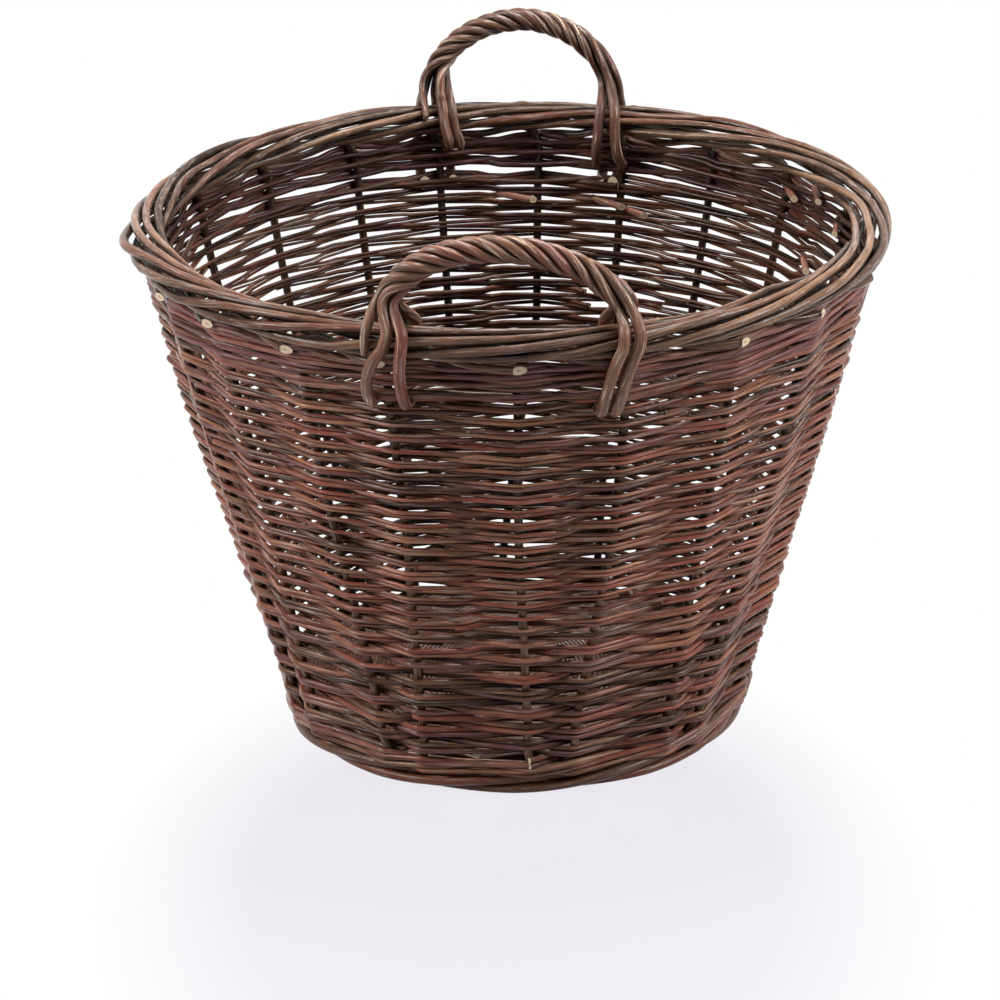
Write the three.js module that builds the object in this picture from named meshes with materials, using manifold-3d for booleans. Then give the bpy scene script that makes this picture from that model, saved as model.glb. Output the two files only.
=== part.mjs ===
// A round wicker basket of unpeeled willow with a rolled border and two twisted handles.
// Units are millimetres, +Z is up, and the origin is the centre of the foot on the ground.
// Azimuths are degrees: 0 is +X, 90 is +Y. The front handle stands at -Y, the back one at +Y.
//
// How the real basket is made, and how it is split here:
//   base      five thick sticks, three pierced and two passed through them, fanned to ten spokes,
//             with two flat weavers paired round them
//   stakes    upright rods, butts pushed in beside the spokes, each one bent over at the top
//             to become its own strand of the rolled border
//   wall      weavers that pass outside one stake and inside the next, in one long climbing spiral
//   foot      rods laid up as a three strand rope under the edge of the base
//   handles   five rods each, twisted together, with legs that straddle the border
import * as THREE from 'three';
import { mergeVertices } from 'three/addons/utils/BufferGeometryUtils.js';
import Module from 'manifold-3d';

const wasm = await Module();
wasm.setup();

// Driving dimensions
const clearance = 0.35;            // gap kept between rods that touch on the real basket
const wallFootRadius = 160.5;      // ring of the stakes where they stand free of the base
const wallFootHeight = 29;
const wallTopRadius = 246;         // ring of the stakes where they meet the border
const wallBulge = 5;               // how far the wall swells past a straight sided cone
const borderHeight = 353;          // height of the middle of the rolled border
const borderEndRadius = 6.8;       // round ends of the racetrack that the border strands follow
const borderFlat = 4.4;            // half of the racetrack's straight length
const stakeRadius = 3.2;
const stakeButtLength = 30;        // length of a stake that lies in the base beside its spoke
const sidingThickness = 3.4;
const waleThickness = 4.4;
const spokeRadius = 3.6;
const passedStickHalfWidth = 2.4;  // the two passed sticks are shaved to this where they cross
const passedStickHalfHeight = 1.3;
const fanRadius = 24;              // the sticks run straight out from here
const baseWeaverThickness = 2.4;
const baseWeaverWidth = 14.2;
const baseWeaverStart = 25;
const footRodRadius = 3.2;
const footWear = 0.5;              // depth worn flat where the foot stands
const handleRodRadius = 3;
const handleLayRadius = 6.5;       // ring of the handle's rods round the middle of the rope
const handleFootRise = 11;         // height above the border at which the rods part
const handleTip = 4;               // length of an outer leg that shows inside the wall

// Counts and angles
const stakeCount = 21;
const spokeCount = 10;
const oddStake = 12;               // the one stake that has no spoke beside it
const firstStake = -87.5;
const firstSpoke = -81.5;
const stakeSpread = 5.2;           // angle from a spoke to its stakes at the foot of the wall
const borderLap = 7;               // stakes that a border strand travels past
const wallTurns = 24;
const topWaleTurns = 1.8;
const upsettWaleTurns = 1.5;
const startTipStations = 3;        // stakes that the spiral's thin start stays short of a full turn
const endTipStations = 4;          // and the same at its thin end
const sidingPieces = 4;
const stakeSides = 5;
const boreSides = 8;
const footSides = 6;
const footLap = 3;                 // spokes that a foot rod travels past
const footSteps = 10;
const handleRods = 5;
const handleTwistSteps = 12;       // twist of the handle, in shares of a turn from rod to rod
const handleTurnSteps = 8;         // points along a handle's rod for each turn of the twist
const handleLean = 7;
const legStep = 30;                // step round the border of a handle's leg

// How far each stake stands off its even place at the rim, in degrees, from the front one round.
const stakeDrift = [
  -1.5, -1.6, 0, 0, 0.8, -1, 0, 3.5, 3.4, 3.2, 1,
  1, -1, 0, 0.8, -1.2, 1, 0.5, -1.5, -2, -4.4,
];

// Shares of the wall's height: where the stakes have spread out evenly, and the places of a
// stake's points up to there.
const evenShare = 0.53;
const spreadShares = [0, 0.33, 0.66, 1];

// Shares of the step from stake to stake, where a stake bends over, settles into the border,
// and comes out of it again as a tail.
const bendShare = 0.04;
const settleShare = 0.14;
const strandShare = 0.5;
const leaveShare = 0.5;
const tailShare = 0.1;

// The handles. Their rods are about as long, so the narrower one at the back stands higher.
// Right and left are as seen from outside the basket, facing the handle.
// Each leg's shares are of a rod's radius, along the border from where the middle of the rope
// stands, away from the handle's middle: where the leg passes the border, and where it goes in
// through the wall or hangs inside it. The fifth leg is cut off on top of the border.
const frontHandle = {
  azimuth: -90,
  halfSpan: 78,
  rise: 52.5,                      // from the top of the border to the middle of the crown
  skew: 12,                        // how far the crown stands to the left
  rightEntryRows: 2.375,           // rows of the wall that the outer legs pass before they go in
  leftEntryRows: 1.93,
  rightHangDrop: 28,               // how far the inner legs hang below the border's middle
  leftHangDrop: 28,
  rightLegShares: [
    { passes: 0.84, enters: -2.9 },
    { passes: -2.9, enters: -6.4 },
    { inside: true, passes: -3.9, hangs: -3.9 },
    { inside: true, passes: 0.3, hangs: 0.3 },
    { inside: true, passes: 3.3, cut: true },
  ],
  leftLegShares: [
    { passes: 0.4, enters: 5.3 },
    { passes: -3.6, enters: -2.7 },
    { inside: true, passes: -3.9, hangs: -3.9 },
    { inside: true, passes: 0, hangs: 0 },
    { passes: 5.2, cut: true },
  ],
};
const backHandle = {
  azimuth: 88.4,
  halfSpan: 66.7,
  rise: 63,
  skew: 0,
  rightEntryRows: 2,
  leftEntryRows: 2,
  rightHangDrop: 16,
  leftHangDrop: 29,
  rightLegShares: [
    { passes: 1, enters: 2 },
    { passes: -2.9, enters: -5.3 },
    { inside: true, passes: -5.4, hangs: -6.9 },
    { inside: true, passes: -2.6, hangs: -4.2 },
    { inside: true, passes: 2.7, cut: true },
  ],
  leftLegShares: [
    { passes: 0.8, enters: 0.8 },
    { passes: -2.9, enters: -2.9 },
    { inside: true, passes: -2.6, hangs: -2.9 },
    { inside: true, passes: 2.9, hangs: 4 },
    { passes: 5, cut: true },
  ],
};

// Barks
const bark = (color, roughness) => new THREE.MeshStandardMaterial({ color, roughness, metalness: 0 });
const sidingBark = bark(0x6b3b2a, 0.62);
const stakeBark = bark(0x7d5a44, 0.6);
const waleBark = bark(0x5a3236, 0.62);
const footBark = bark(0x5a3022, 0.45);
const handleBark = bark(0x8a4f38, 0.55);
const stickBark = bark(0x6a4a33, 0.65);
const baseBark = bark(0x5e3826, 0.65);

const basket = new THREE.Group();

// Small helpers
const radians = (angle) => angle * Math.PI / 180;
const degrees = (angle) => angle * 180 / Math.PI;
const mix = (a, b, t) => a + (b - a) * t;
const clamp = (v, low, high) => Math.min(Math.max(v, low), high);
const arcAngle = (length, radius) => degrees(length / radius);
const upwards = new THREE.Vector3(0, 0, 1);

function polar(azimuth, radius, height) {
  return new THREE.Vector3(radius * Math.cos(radians(azimuth)), radius * Math.sin(radians(azimuth)), height);
}

// A closed skin over a row of rings with equal point counts, with both ends capped by fans.
function skin(rings) {
  const sides = rings[0].length;
  const points = rings.flat();
  const index = [];
  for (let r = 0; r + 1 < rings.length; r++) {
    for (let s = 0; s < sides; s++) {
      const a = r * sides + s;
      const b = r * sides + (s + 1) % sides;
      index.push(a, b, b + sides, a, b + sides, a + sides);
    }
  }
  const last = (rings.length - 1) * sides;
  for (let s = 1; s + 1 < sides; s++) {
    index.push(0, s + 1, s, last, last + s, last + s + 1);
  }
  let volume = 0;
  for (let i = 0; i < index.length; i += 3) {
    const [a, b, c] = [points[index[i]], points[index[i + 1]], points[index[i + 2]]];
    volume += a.dot(new THREE.Vector3().crossVectors(b, c));
  }
  if (volume < 0) index.reverse();
  const geometry = new THREE.BufferGeometry();
  geometry.setAttribute('position', new THREE.Float32BufferAttribute(points.flatMap((p) => p.toArray()), 3));
  geometry.setIndex(index);
  return geometry;
}

// A rod along a row of points. Each ring is square to the path and carried along without twist.
// section(i) gives the ring's half width and its half height.
function rod(path, section, sides) {
  let up = upwards.clone();
  const rings = path.map((point, i) => {
    const before = path[Math.max(i - 1, 0)];
    const after = path[Math.min(i + 1, path.length - 1)];
    const inward = point.clone().sub(before).normalize();
    const onward = after.clone().sub(point).normalize();
    const ahead = inward.add(onward).normalize();
    up = up.clone().addScaledVector(ahead, -up.dot(ahead)).normalize();
    const across = new THREE.Vector3().crossVectors(ahead, up);
    const [wide, high] = section(i);
    return Array.from({ length: sides }, (_, s) => {
      const turn = 2 * Math.PI * (s + 0.5) / sides;
      const p = point.clone().addScaledVector(across, wide * Math.sin(turn));
      return p.addScaledVector(up, -high * Math.cos(turn));
    });
  });
  return skin(rings);
}

const round = (radius) => () => [radius, radius];

function solid(geometry) {
  const bare = geometry.clone();
  bare.deleteAttribute('normal');
  bare.deleteAttribute('uv');
  const merged = mergeVertices(bare);
  return new wasm.Manifold(new wasm.Mesh({
    numProp: 3,
    vertProperties: new Float32Array(merged.attributes.position.array),
    triVerts: new Uint32Array(merged.index.array),
  }));
}

function fromSolid(body) {
  const mesh = body.getMesh();
  const geometry = new THREE.BufferGeometry();
  geometry.setAttribute('position', new THREE.BufferAttribute(new Float32Array(mesh.vertProperties), 3));
  geometry.setIndex(new THREE.BufferAttribute(new Uint32Array(mesh.triVerts), 1));
  return geometry;
}

function add(name, geometry, material) {
  geometry.computeVertexNormals();
  const mesh = new THREE.Mesh(geometry, material);
  mesh.name = name;
  basket.add(mesh);
}

const numbered = (name, i) => `${name}_${String(i + 1).padStart(2, '0')}`;

// Levels, from the ground up
const footLayRadius = 2 * footRodRadius / Math.sqrt(3) + clearance;
const footFlat = footRodRadius * Math.cos(Math.PI / footSides);
const footMiddle = footLayRadius + footFlat - footWear;
const footTop = footMiddle + footLayRadius + footFlat;
const weaverLift = spokeRadius + clearance + baseWeaverThickness / 2;
const basePlane = footTop + clearance + baseWeaverThickness / 2 + weaverLift;
const borderLow = borderHeight - borderEndRadius - stakeRadius;
const borderTop = borderHeight + borderEndRadius + stakeRadius;
const tailHeight = borderLow - clearance - stakeRadius;
const wallLow = footTop + clearance;
const wallHigh = tailHeight - stakeRadius - clearance;
const wallPitch = (wallHigh - wallLow) / wallTurns;

// The stakes stand on a cone that swells a little, most of all two thirds of the way up.
const wallSlope = (wallTopRadius - wallFootRadius) / (borderHeight - wallFootHeight);

function wallRadius(height) {
  const share = clamp((height - wallFootHeight) / (borderHeight - wallFootHeight), 0, 1);
  const swell = 27 / 4 * share * share * (1 - share);
  return wallFootRadius + wallSlope * (height - wallFootHeight) + wallBulge * swell;
}

// The base ends where the stakes bend up out of it, and the foot's rope lies under its edge.
const bendRadius = wallRadius(basePlane);
const spokeReach = bendRadius - stakeRadius - clearance;
const baseWeaverRim = bendRadius - 2 * stakeRadius;
const footRing = bendRadius - 1.4 * stakeRadius;

// Stakes: azimuth at the rim, at the foot, and in between
const spokeAzimuth = (i) => firstSpoke + 360 * i / spokeCount;
const evenHeight = mix(wallFootHeight, borderHeight, evenShare);

function rimAzimuth(k) {
  const place = ((k % stakeCount) + stakeCount) % stakeCount;
  return firstStake + 360 * k / stakeCount + stakeDrift[place];
}

// The spoke that a stake lies beside, and on which side of it: -1 before it, 1 after it.
function partner(k) {
  const order = k < oddStake ? k : k - 1;
  return { spoke: Math.floor(order / 2), side: order % 2 ? 1 : -1 };
}

function footAzimuth(k) {
  if (k === oddStake) return spokeAzimuth(oddStake / 2 - 0.5);
  const { spoke, side } = partner(k);
  return spokeAzimuth(spoke) + side * stakeSpread;
}

function stakeAzimuth(k, height) {
  const rounds = Math.floor(k / stakeCount);
  const place = k - rounds * stakeCount;
  const rise = clamp((height - wallFootHeight) / (evenHeight - wallFootHeight), 0, 1);
  return 360 * rounds + mix(footAzimuth(place), rimAzimuth(place), rise);
}

// Azimuth along the rim at a place between two stakes, as 2.5 is half way from stake 2 to 3
function rimBetween(k) {
  const whole = Math.floor(k);
  return mix(rimAzimuth(whole), rimAzimuth(whole + 1), k - whole);
}

// Rolled border: the racetrack section, by the share of its length from the bottom, outside first
function racetrack(share) {
  const bend = Math.PI * borderEndRadius;
  let run = share * (2 * bend + 4 * borderFlat);
  if (run < borderFlat) return [run, -borderEndRadius];
  run -= borderFlat;
  if (run < bend) {
    const turn = run / borderEndRadius;
    return [borderFlat + borderEndRadius * Math.sin(turn), -borderEndRadius * Math.cos(turn)];
  }
  run -= bend;
  if (run < 2 * borderFlat) return [borderFlat - run, borderEndRadius];
  run -= 2 * borderFlat;
  if (run < bend) {
    const turn = run / borderEndRadius;
    return [-borderFlat - borderEndRadius * Math.sin(turn), borderEndRadius * Math.cos(turn)];
  }
  return [-borderFlat + run - bend, -borderEndRadius];
}

function borderPoint(k, lap) {
  const [out, up] = racetrack(lap / borderLap);
  return polar(rimBetween(k + lap), wallTopRadius + out, borderHeight + up);
}

// One stake with its border strand: butt, bend, wall, bend, border, tail
function stakePath(k) {
  const path = [];
  if (k === oddStake) {
    path.push(polar(footAzimuth(k), wallRadius(wallLow + stakeRadius), wallLow + stakeRadius));
  } else {
    const { spoke, side } = partner(k);
    const beside = spokeRadius + stakeRadius + clearance;
    const along = (radius, off, height) => {
      return polar(spokeAzimuth(spoke) + side * degrees(Math.asin(off / radius)), radius, height);
    };
    const stand = wallFootRadius * Math.sin(radians(stakeSpread));
    const start = bendRadius - 2.5 * stakeRadius;
    path.push(along(start - stakeButtLength, beside, basePlane));
    path.push(along(start, beside, basePlane));
    const turning = mix(basePlane, wallFootHeight, 0.12);
    path.push(along(mix(start, bendRadius, 0.7), mix(beside, stand, 0.4), turning));
    const risen = mix(basePlane, wallFootHeight, 0.5);
    path.push(along(wallRadius(risen), mix(beside, stand, 0.85), risen));
  }
  for (const share of spreadShares) {
    const height = mix(wallFootHeight, evenHeight, share);
    path.push(polar(stakeAzimuth(k, height), wallRadius(height), height));
  }
  for (const height of [mix(evenHeight, wallHigh, 0.5), wallHigh, borderLow - 0.6 * stakeRadius]) {
    path.push(polar(rimAzimuth(k), wallRadius(height), height));
  }
  const strandLow = borderHeight - borderEndRadius;
  const bendOut = mix(wallRadius(borderLow), wallTopRadius, 0.5);
  path.push(polar(rimBetween(k + bendShare), bendOut, mix(borderLow, strandLow, 0.5)));
  path.push(polar(rimBetween(k + settleShare), wallTopRadius, strandLow));
  for (let lap = strandShare; lap < borderLap - leaveShare; lap += strandShare) {
    path.push(borderPoint(k, lap));
  }
  const end = k + borderLap;
  path.push(polar(rimBetween(end - leaveShare), wallTopRadius - 0.6 * stakeRadius, tailHeight));
  path.push(polar(rimBetween(end - tailShare), wallTopRadius + 1.5 * stakeRadius, tailHeight));
  return path;
}

for (let k = 0; k < stakeCount; k++) {
  add(numbered('stake', k), rod(stakePath(k), round(stakeRadius), stakeSides), stakeBark);
}

// The wall: one long spiral of weaver, cut into the lengths that are stouter or slimmer.
// Station j is stake j counted on past the first round; the weaver is straight between stations.
const stationLow = (j) => clamp(wallLow + wallPitch * j / stakeCount, wallLow, wallHigh);
const stationHigh = (j) => clamp(wallLow + wallPitch * (j / stakeCount + 1) - clearance, wallLow, wallHigh);

function stationRing(j, thickness, outside) {
  const away = stakeRadius + 2 * clearance;
  const near = outside ? away : -away - thickness;
  const far = near + thickness;
  const corner = (height, out) => polar(stakeAzimuth(j, height), wallRadius(height) + out, height);
  const low = stationLow(j);
  const high = stationHigh(j);
  return [corner(low, near), corner(low, far), corner(high, far), corner(high, near)];
}

// A length of weaver from half way past station "first" to half way past station "last"
function weaver(first, last, thickness, goesOutside) {
  const ringAt = (j) => stationRing(j, thickness, goesOutside(j));
  const between = (j, share) => {
    const [from, to] = [ringAt(j), ringAt(j + 1)];
    return from.map((p, i) => p.clone().lerp(to[i], share));
  };
  const backOff = (j) => clearance / ringAt(j)[0].distanceTo(ringAt(j + 1)[0]);
  const rings = [between(first, 0.5 + backOff(first))];
  for (let j = first + 1; j <= last; j++) rings.push(ringAt(j));
  rings.push(between(last, 0.5 - backOff(last)));
  return skin(rings);
}

const firstStation = startTipStations - stakeCount;
const upsettEnd = Math.floor(stakeCount * upsettWaleTurns);
const sidingEnd = Math.round(stakeCount * (wallTurns - topWaleTurns));
const lastStation = stakeCount * wallTurns - endTipStations;
const everyOther = (j) => j % 2 === 0;
const threeInFour = (j) => j < stakeCount || j % 4 !== 0;

// Handles: an arch of five twisted rods, whose ends part and straddle the border
function twistHandle(handle) {
  const out = polar(handle.azimuth, 1, 0);
  const along = new THREE.Vector3().crossVectors(upwards, out);
  const footDepth = wallTopRadius * Math.cos(Math.asin(handle.halfSpan / wallTopRadius));
  const lean = Math.tan(radians(handleLean));
  const ropeStart = Math.asin(handleFootRise / handle.rise);
  const steps = Math.round(handleTwistSteps * handleTurnSteps / handleRods);

  // The rod's place at a share of the way over the arch, from the right foot to the left
  const ropePoint = (i, share) => {
    const turn = mix(ropeStart, Math.PI - ropeStart, share);
    const [cos, sin] = [Math.cos(turn), Math.sin(turn)];
    const axis = along.clone().multiplyScalar(handle.halfSpan * cos - handle.skew * sin);
    axis.addScaledVector(out, footDepth + lean * handle.rise * sin);
    axis.addScaledVector(upwards, borderTop + handle.rise * sin);
    const outward = out.clone().addScaledVector(upwards, -lean).normalize();
    const ahead = along.clone().multiplyScalar(-handle.halfSpan * sin - handle.skew * cos);
    ahead.addScaledVector(out, lean * handle.rise * cos);
    ahead.addScaledVector(upwards, handle.rise * cos).normalize();
    const across = new THREE.Vector3().crossVectors(outward, ahead).negate();
    const phase = radians(360 / handleRods * (i + 0.75 - share * handleTwistSteps));
    axis.addScaledVector(across, handleLayRadius * Math.cos(phase));
    return axis.addScaledVector(outward, handleLayRadius * Math.sin(phase));
  };

  // A leg from the rope's end down past the border: outside and in through the wall, or inside.
  // "bored" holds the points from the border's outer face on, where the weavers make room.
  const legPath = (leg, way, entryRows, hangDrop) => {
    const side = leg.inside ? -1 : 1;
    const reach = (share) => way * arcAngle(handle.halfSpan + share * handleRodRadius, wallTopRadius);
    const past = borderEndRadius + stakeRadius + clearance + handleRodRadius;
    const corner = past / Math.cos(radians(legStep / 2));
    const place = (share, offset, height) => {
      return polar(handle.azimuth + reach(share), wallTopRadius + offset, height);
    };
    const turns = leg.cut ? [2 * legStep, legStep] : [2 * legStep, legStep, 0];
    const over = turns.map((turn) => place(
      leg.passes,
      side * (borderFlat + corner * Math.cos(radians(turn))),
      borderHeight + corner * Math.sin(radians(turn)),
    ));
    if (leg.cut) return { points: over };
    if (leg.inside) {
      const inwards = borderFlat + corner + 0.2 * wallSlope * hangDrop;
      return { points: [...over, place(leg.hangs, -inwards, borderHeight - hangDrop)] };
    }
    const entry = wallHigh - wallPitch * entryRows;
    const face = wallRadius(entry) - wallTopRadius;
    const skinDepth = stakeRadius + 2 * clearance + waleThickness;
    const bend = handleRodRadius + clearance;
    const bored = [
      place(leg.passes, borderFlat + corner - clearance, borderHeight - 2 * stakeRadius),
      place(leg.enters, face + skinDepth + bend, entry + 1.4 * bend),
      place(leg.enters, face + skinDepth, entry + 0.2 * bend),
      place(leg.enters, face - skinDepth - handleTip, entry),
    ];
    return { points: [...over, ...bored], bored };
  };

  return Array.from({ length: handleRods }, (_, i) => {
    const arch = Array.from({ length: steps + 1 }, (_, s) => ropePoint(i, s / steps));
    const landing = (((i - handleTwistSteps) % handleRods) + handleRods) % handleRods;
    const right = legPath(handle.rightLegShares[i], 1, handle.rightEntryRows, handle.rightHangDrop);
    const left = legPath(handle.leftLegShares[landing], -1, handle.leftEntryRows, handle.leftHangDrop);
    return { path: [...right.points.slice().reverse(), ...arch, ...left.points], legs: [right, left] };
  });
}

const handles = { handle_front: twistHandle(frontHandle), handle_back: twistHandle(backHandle) };
for (const [name, rods] of Object.entries(handles)) {
  rods.forEach((strand, i) => {
    add(numbered(name, i), rod(strand.path, round(handleRodRadius), stakeSides), handleBark);
  });
}

// Where the outer legs go in through the wall, the weavers part round them.
const legs = Object.values(handles).flat().flatMap((strand) => strand.legs);
const partings = legs.filter((leg) => leg.bored).map((leg) => {
  const way = leg.bored.map((p) => p.clone());
  const [before, end] = way.slice(-2);
  end.addScaledVector(end.clone().sub(before).normalize(), handleTip);
  const bore = (handleRodRadius + clearance) / Math.cos(Math.PI / boreSides);
  return solid(rod(way, round(bore), boreSides));
});
const parted = (geometry) => fromSolid(partings.reduce((body, cut) => body.subtract(cut), solid(geometry)));

add('upsett_wale', weaver(firstStation, upsettEnd, waleThickness, threeInFour), waleBark);
for (let i = 0; i < sidingPieces; i++) {
  const from = Math.round(mix(upsettEnd, sidingEnd, i / sidingPieces));
  const to = Math.round(mix(upsettEnd, sidingEnd, (i + 1) / sidingPieces));
  const geometry = weaver(from, to, sidingThickness, everyOther);
  add(`siding_${i + 1}`, i === sidingPieces - 1 ? parted(geometry) : geometry, sidingBark);
}
add('top_wale', parted(weaver(sidingEnd, lastStation, waleThickness, threeInFour)), waleBark);

// Base sticks, in a frame where the pierced ones run along Y
const fanSpread = 360 / spokeCount;
const baseTurn = new THREE.Matrix4().makeRotationZ(radians(spokeAzimuth(spokeCount / 2) - 90));
const slotHalfWidth = 2 * passedStickHalfWidth + 1.5 * clearance;
const slotHalfHeight = passedStickHalfHeight + clearance;
const piercedPitch = 2 * spokeRadius + clearance;

function addStick(name, geometry) {
  add(name, geometry.applyMatrix4(baseTurn), stickBark);
}

for (const place of [-1, 0, 1]) {
  const slotEnd = slotHalfWidth + spokeRadius;
  const beside = (way) => new THREE.Vector3(place * piercedPitch, way * slotEnd, basePlane);
  const fan = (way, radius) => polar(way * 90 - way * place * fanSpread, radius, basePlane);
  const path = [
    fan(-1, spokeReach),
    fan(-1, fanRadius),
    beside(-1),
    beside(1),
    fan(1, fanRadius),
    fan(1, spokeReach),
  ];
  const slot = new THREE.BoxGeometry(4 * spokeRadius, 2 * slotHalfWidth, 2 * slotHalfHeight);
  slot.translate(place * piercedPitch, 0, basePlane);
  const stick = solid(rod(path, round(spokeRadius), footSides)).subtract(solid(slot));
  addStick(`pierced_stick_${place + 2}`, fromSolid(stick));
}

for (const side of [-1, 1]) {
  const shaved = piercedPitch + spokeRadius + 2 * clearance;
  const near = side * (passedStickHalfWidth + clearance / 2);
  const fan = (way, radius) => polar(90 - way * 90 + way * side * fanSpread / 2, radius, basePlane);
  const path = [
    fan(-1, spokeReach),
    fan(-1, fanRadius),
    new THREE.Vector3(-shaved, near, basePlane),
    new THREE.Vector3(shaved, near, basePlane),
    fan(1, fanRadius),
    fan(1, spokeReach),
  ];
  const section = (i) => (i === 2 || i === 3
    ? [passedStickHalfWidth, passedStickHalfHeight]
    : [spokeRadius, spokeRadius]);
  addStick(`passed_stick_${side < 0 ? 1 : 2}`, rod(path, section, footSides));
}

// Base weavers: two flat spirals, one over the spokes that the other goes under
function baseWeaver(startSpoke) {
  const pitch = 2 * (baseWeaverWidth + clearance);
  const rings = [];
  const buttStart = wallFootRadius - stakeButtLength - 5 * stakeRadius;
  const slim = spokeRadius + clearance;
  const broad = spokeRadius + 2 * stakeRadius + 3 * clearance;
  const cover = (radius) => mix(slim, broad, clamp((radius - buttStart) / stakeButtLength + 1, 0, 1));
  const spread = (radius) => degrees(Math.asin(cover(radius) / radius));
  for (let s = 0; ; s++) {
    const inner = baseWeaverStart + pitch * s / spokeCount;
    if (inner > baseWeaverRim - baseWeaverThickness) break;
    const outer = Math.min(inner + baseWeaverWidth, baseWeaverRim);
    const height = basePlane + (s % 2 ? -1 : 1) * weaverLift;
    const low = height - baseWeaverThickness / 2;
    const high = height + baseWeaverThickness / 2;
    for (const side of [-1, 1]) {
      const edge = (radius, z) => polar(spokeAzimuth(startSpoke + s) + side * spread(radius), radius, z);
      rings.push([edge(inner, low), edge(outer, low), edge(outer, high), edge(inner, high)]);
    }
  }
  return skin(rings);
}

add('base_weaver_1', baseWeaver(0), baseBark);
add('base_weaver_2', baseWeaver(spokeCount / 2), baseBark);

// Foot: rods laid up as a rope of three, each one joining at a spoke and worn flat underneath
const ground = new THREE.BoxGeometry(4 * footRing, 4 * footRing, footRing).translate(0, 0, -footRing / 2);
const jointGap = arcAngle(clearance, footRing);

for (let i = 0; i < spokeCount; i++) {
  const path = Array.from({ length: footSteps + 1 }, (_, s) => {
    const share = s / footSteps;
    const sweep = mix(jointGap, fanSpread * footLap - jointGap, share);
    const phase = Math.PI / 2 + 2 * Math.PI * share;
    return polar(
      spokeAzimuth(i) + sweep,
      footRing + footLayRadius * Math.cos(phase),
      footMiddle + footLayRadius * Math.sin(phase),
    );
  });
  const whole = solid(rod(path, round(footRodRadius), footSides));
  add(numbered('foot_rod', i), fromSolid(whole.subtract(solid(ground))), footBark);
}

export default basket;
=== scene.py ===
# %% [markdown]
# # A round basket of unpeeled willow
# Everything in this basket is a willow rod with its bark on. Ten spokes fan out from five thick
# sticks and make the base, twenty-one stakes stand round it, thin rods are woven in and out
# between the stakes, the border is rolled down from them, and two ropes of five twisted rods
# stand up as handles. So this lesson needs one shape, the rod, and many ways to lay it.
#
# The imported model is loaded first. Its solids give the places, and each one is then replaced by
# the real rods that it stands for.

import bpy
import numpy as np
from mathutils import Matrix


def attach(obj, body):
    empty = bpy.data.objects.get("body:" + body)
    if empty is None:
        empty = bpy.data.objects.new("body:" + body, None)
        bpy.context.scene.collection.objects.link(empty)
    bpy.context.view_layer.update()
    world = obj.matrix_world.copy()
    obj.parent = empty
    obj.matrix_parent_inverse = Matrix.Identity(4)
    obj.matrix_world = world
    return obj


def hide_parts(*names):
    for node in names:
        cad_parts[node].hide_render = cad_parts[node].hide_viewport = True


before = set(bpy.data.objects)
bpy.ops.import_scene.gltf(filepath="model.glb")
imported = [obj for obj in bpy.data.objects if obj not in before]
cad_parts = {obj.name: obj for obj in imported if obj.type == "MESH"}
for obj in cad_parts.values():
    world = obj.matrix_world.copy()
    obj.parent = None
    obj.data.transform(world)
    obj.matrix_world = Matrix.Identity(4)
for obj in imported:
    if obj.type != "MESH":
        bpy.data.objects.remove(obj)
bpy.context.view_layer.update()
print("solids in the frame:", len(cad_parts))

MM = 0.001               # lengths below are millimetres, and a mesh is turned into metres as it is made
rng = np.random.default_rng(21)

# %% [markdown]
# ## The camera
# The photograph was taken with a long lens from above the level of the rim. Two ellipses, the
# border and the foot, fix the camera: how flat they are gives its height, and how much smaller
# the far side of the rim is gives its distance. The shift slides the picture on the sensor
# without turning the camera, so the basket's perspective stays as it is.

# %% Camera
camera_distance = 3526.0
camera_elevation = 21.07      # degrees above the level
camera_roll = -0.6            # degrees
camera_target_height = 177.1
camera_lens = 183.5           # in millimetres on a 36 mm sensor
camera_shift = (-0.012, -0.0352)
camera_clip_end = 50.0        # in metres


def placed(name, data):
    """A new object in the scene, at the origin."""
    thing = bpy.data.objects.new(name, data)
    bpy.context.scene.collection.objects.link(thing)
    return thing


def looking(place, right, up, back):
    """The matrix of a camera or lamp at a place in metres that looks against its back axis."""
    turned = Matrix(np.stack([right, up, back], axis=1).tolist()).to_4x4()
    return Matrix.Translation(place.tolist()) @ turned


def photograph_camera():
    """The back axis is (0, -cos e, sin e), and right and up are turned about it by the roll."""
    e, roll = np.radians([camera_elevation, camera_roll])
    back = np.array([0.0, -np.cos(e), np.sin(e)])
    right = np.array([1.0, 0.0, 0.0])
    up = np.cross(back, right)
    across = right * np.cos(roll) + up * np.sin(roll)
    upright = up * np.cos(roll) - right * np.sin(roll)
    place = (np.array([0.0, 0.0, camera_target_height]) + camera_distance * back) * MM
    camera = placed("camera", bpy.data.cameras.new("camera"))
    camera.data.lens = camera_lens
    camera.data.shift_x, camera.data.shift_y = camera_shift
    camera.data.clip_end = camera_clip_end
    camera.matrix_world = looking(place, across, upright, back)
    bpy.context.scene.camera = camera


photograph_camera()
print("camera:", camera_distance, "mm away and", camera_elevation, "degrees above the level")

# %% [markdown]
# ## The rod
# A rod could be a curve object with a bevel, but then nothing could swell at a bud, and a cut
# end could not be slanted. So a rod is worked out as a surface of two parameters, one along its
# path and one round it, as whole numpy arrays.
#
# Each point also keeps the place it would have if the rod were straight: how far along it is,
# and where it is across. The bark is painted in that straight space, so the grain follows every
# bend and has no seam.

# %% Helpers for arrays of points
UP = np.array([0.0, 0.0, 1.0])
LEVEL = np.array([1.0, 1.0, 0.0])


def unit(vectors):
    """Each vector divided by its own length."""
    return vectors / np.linalg.norm(vectors, axis=-1, keepdims=True)


def polar(azimuth, radius, height):
    """(r cos a, r sin a, z), where the azimuth a is in degrees, from +X towards +Y."""
    a = np.radians(azimuth)
    return np.stack(np.broadcast_arrays(radius * np.cos(a), radius * np.sin(a), height), axis=-1)


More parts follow.
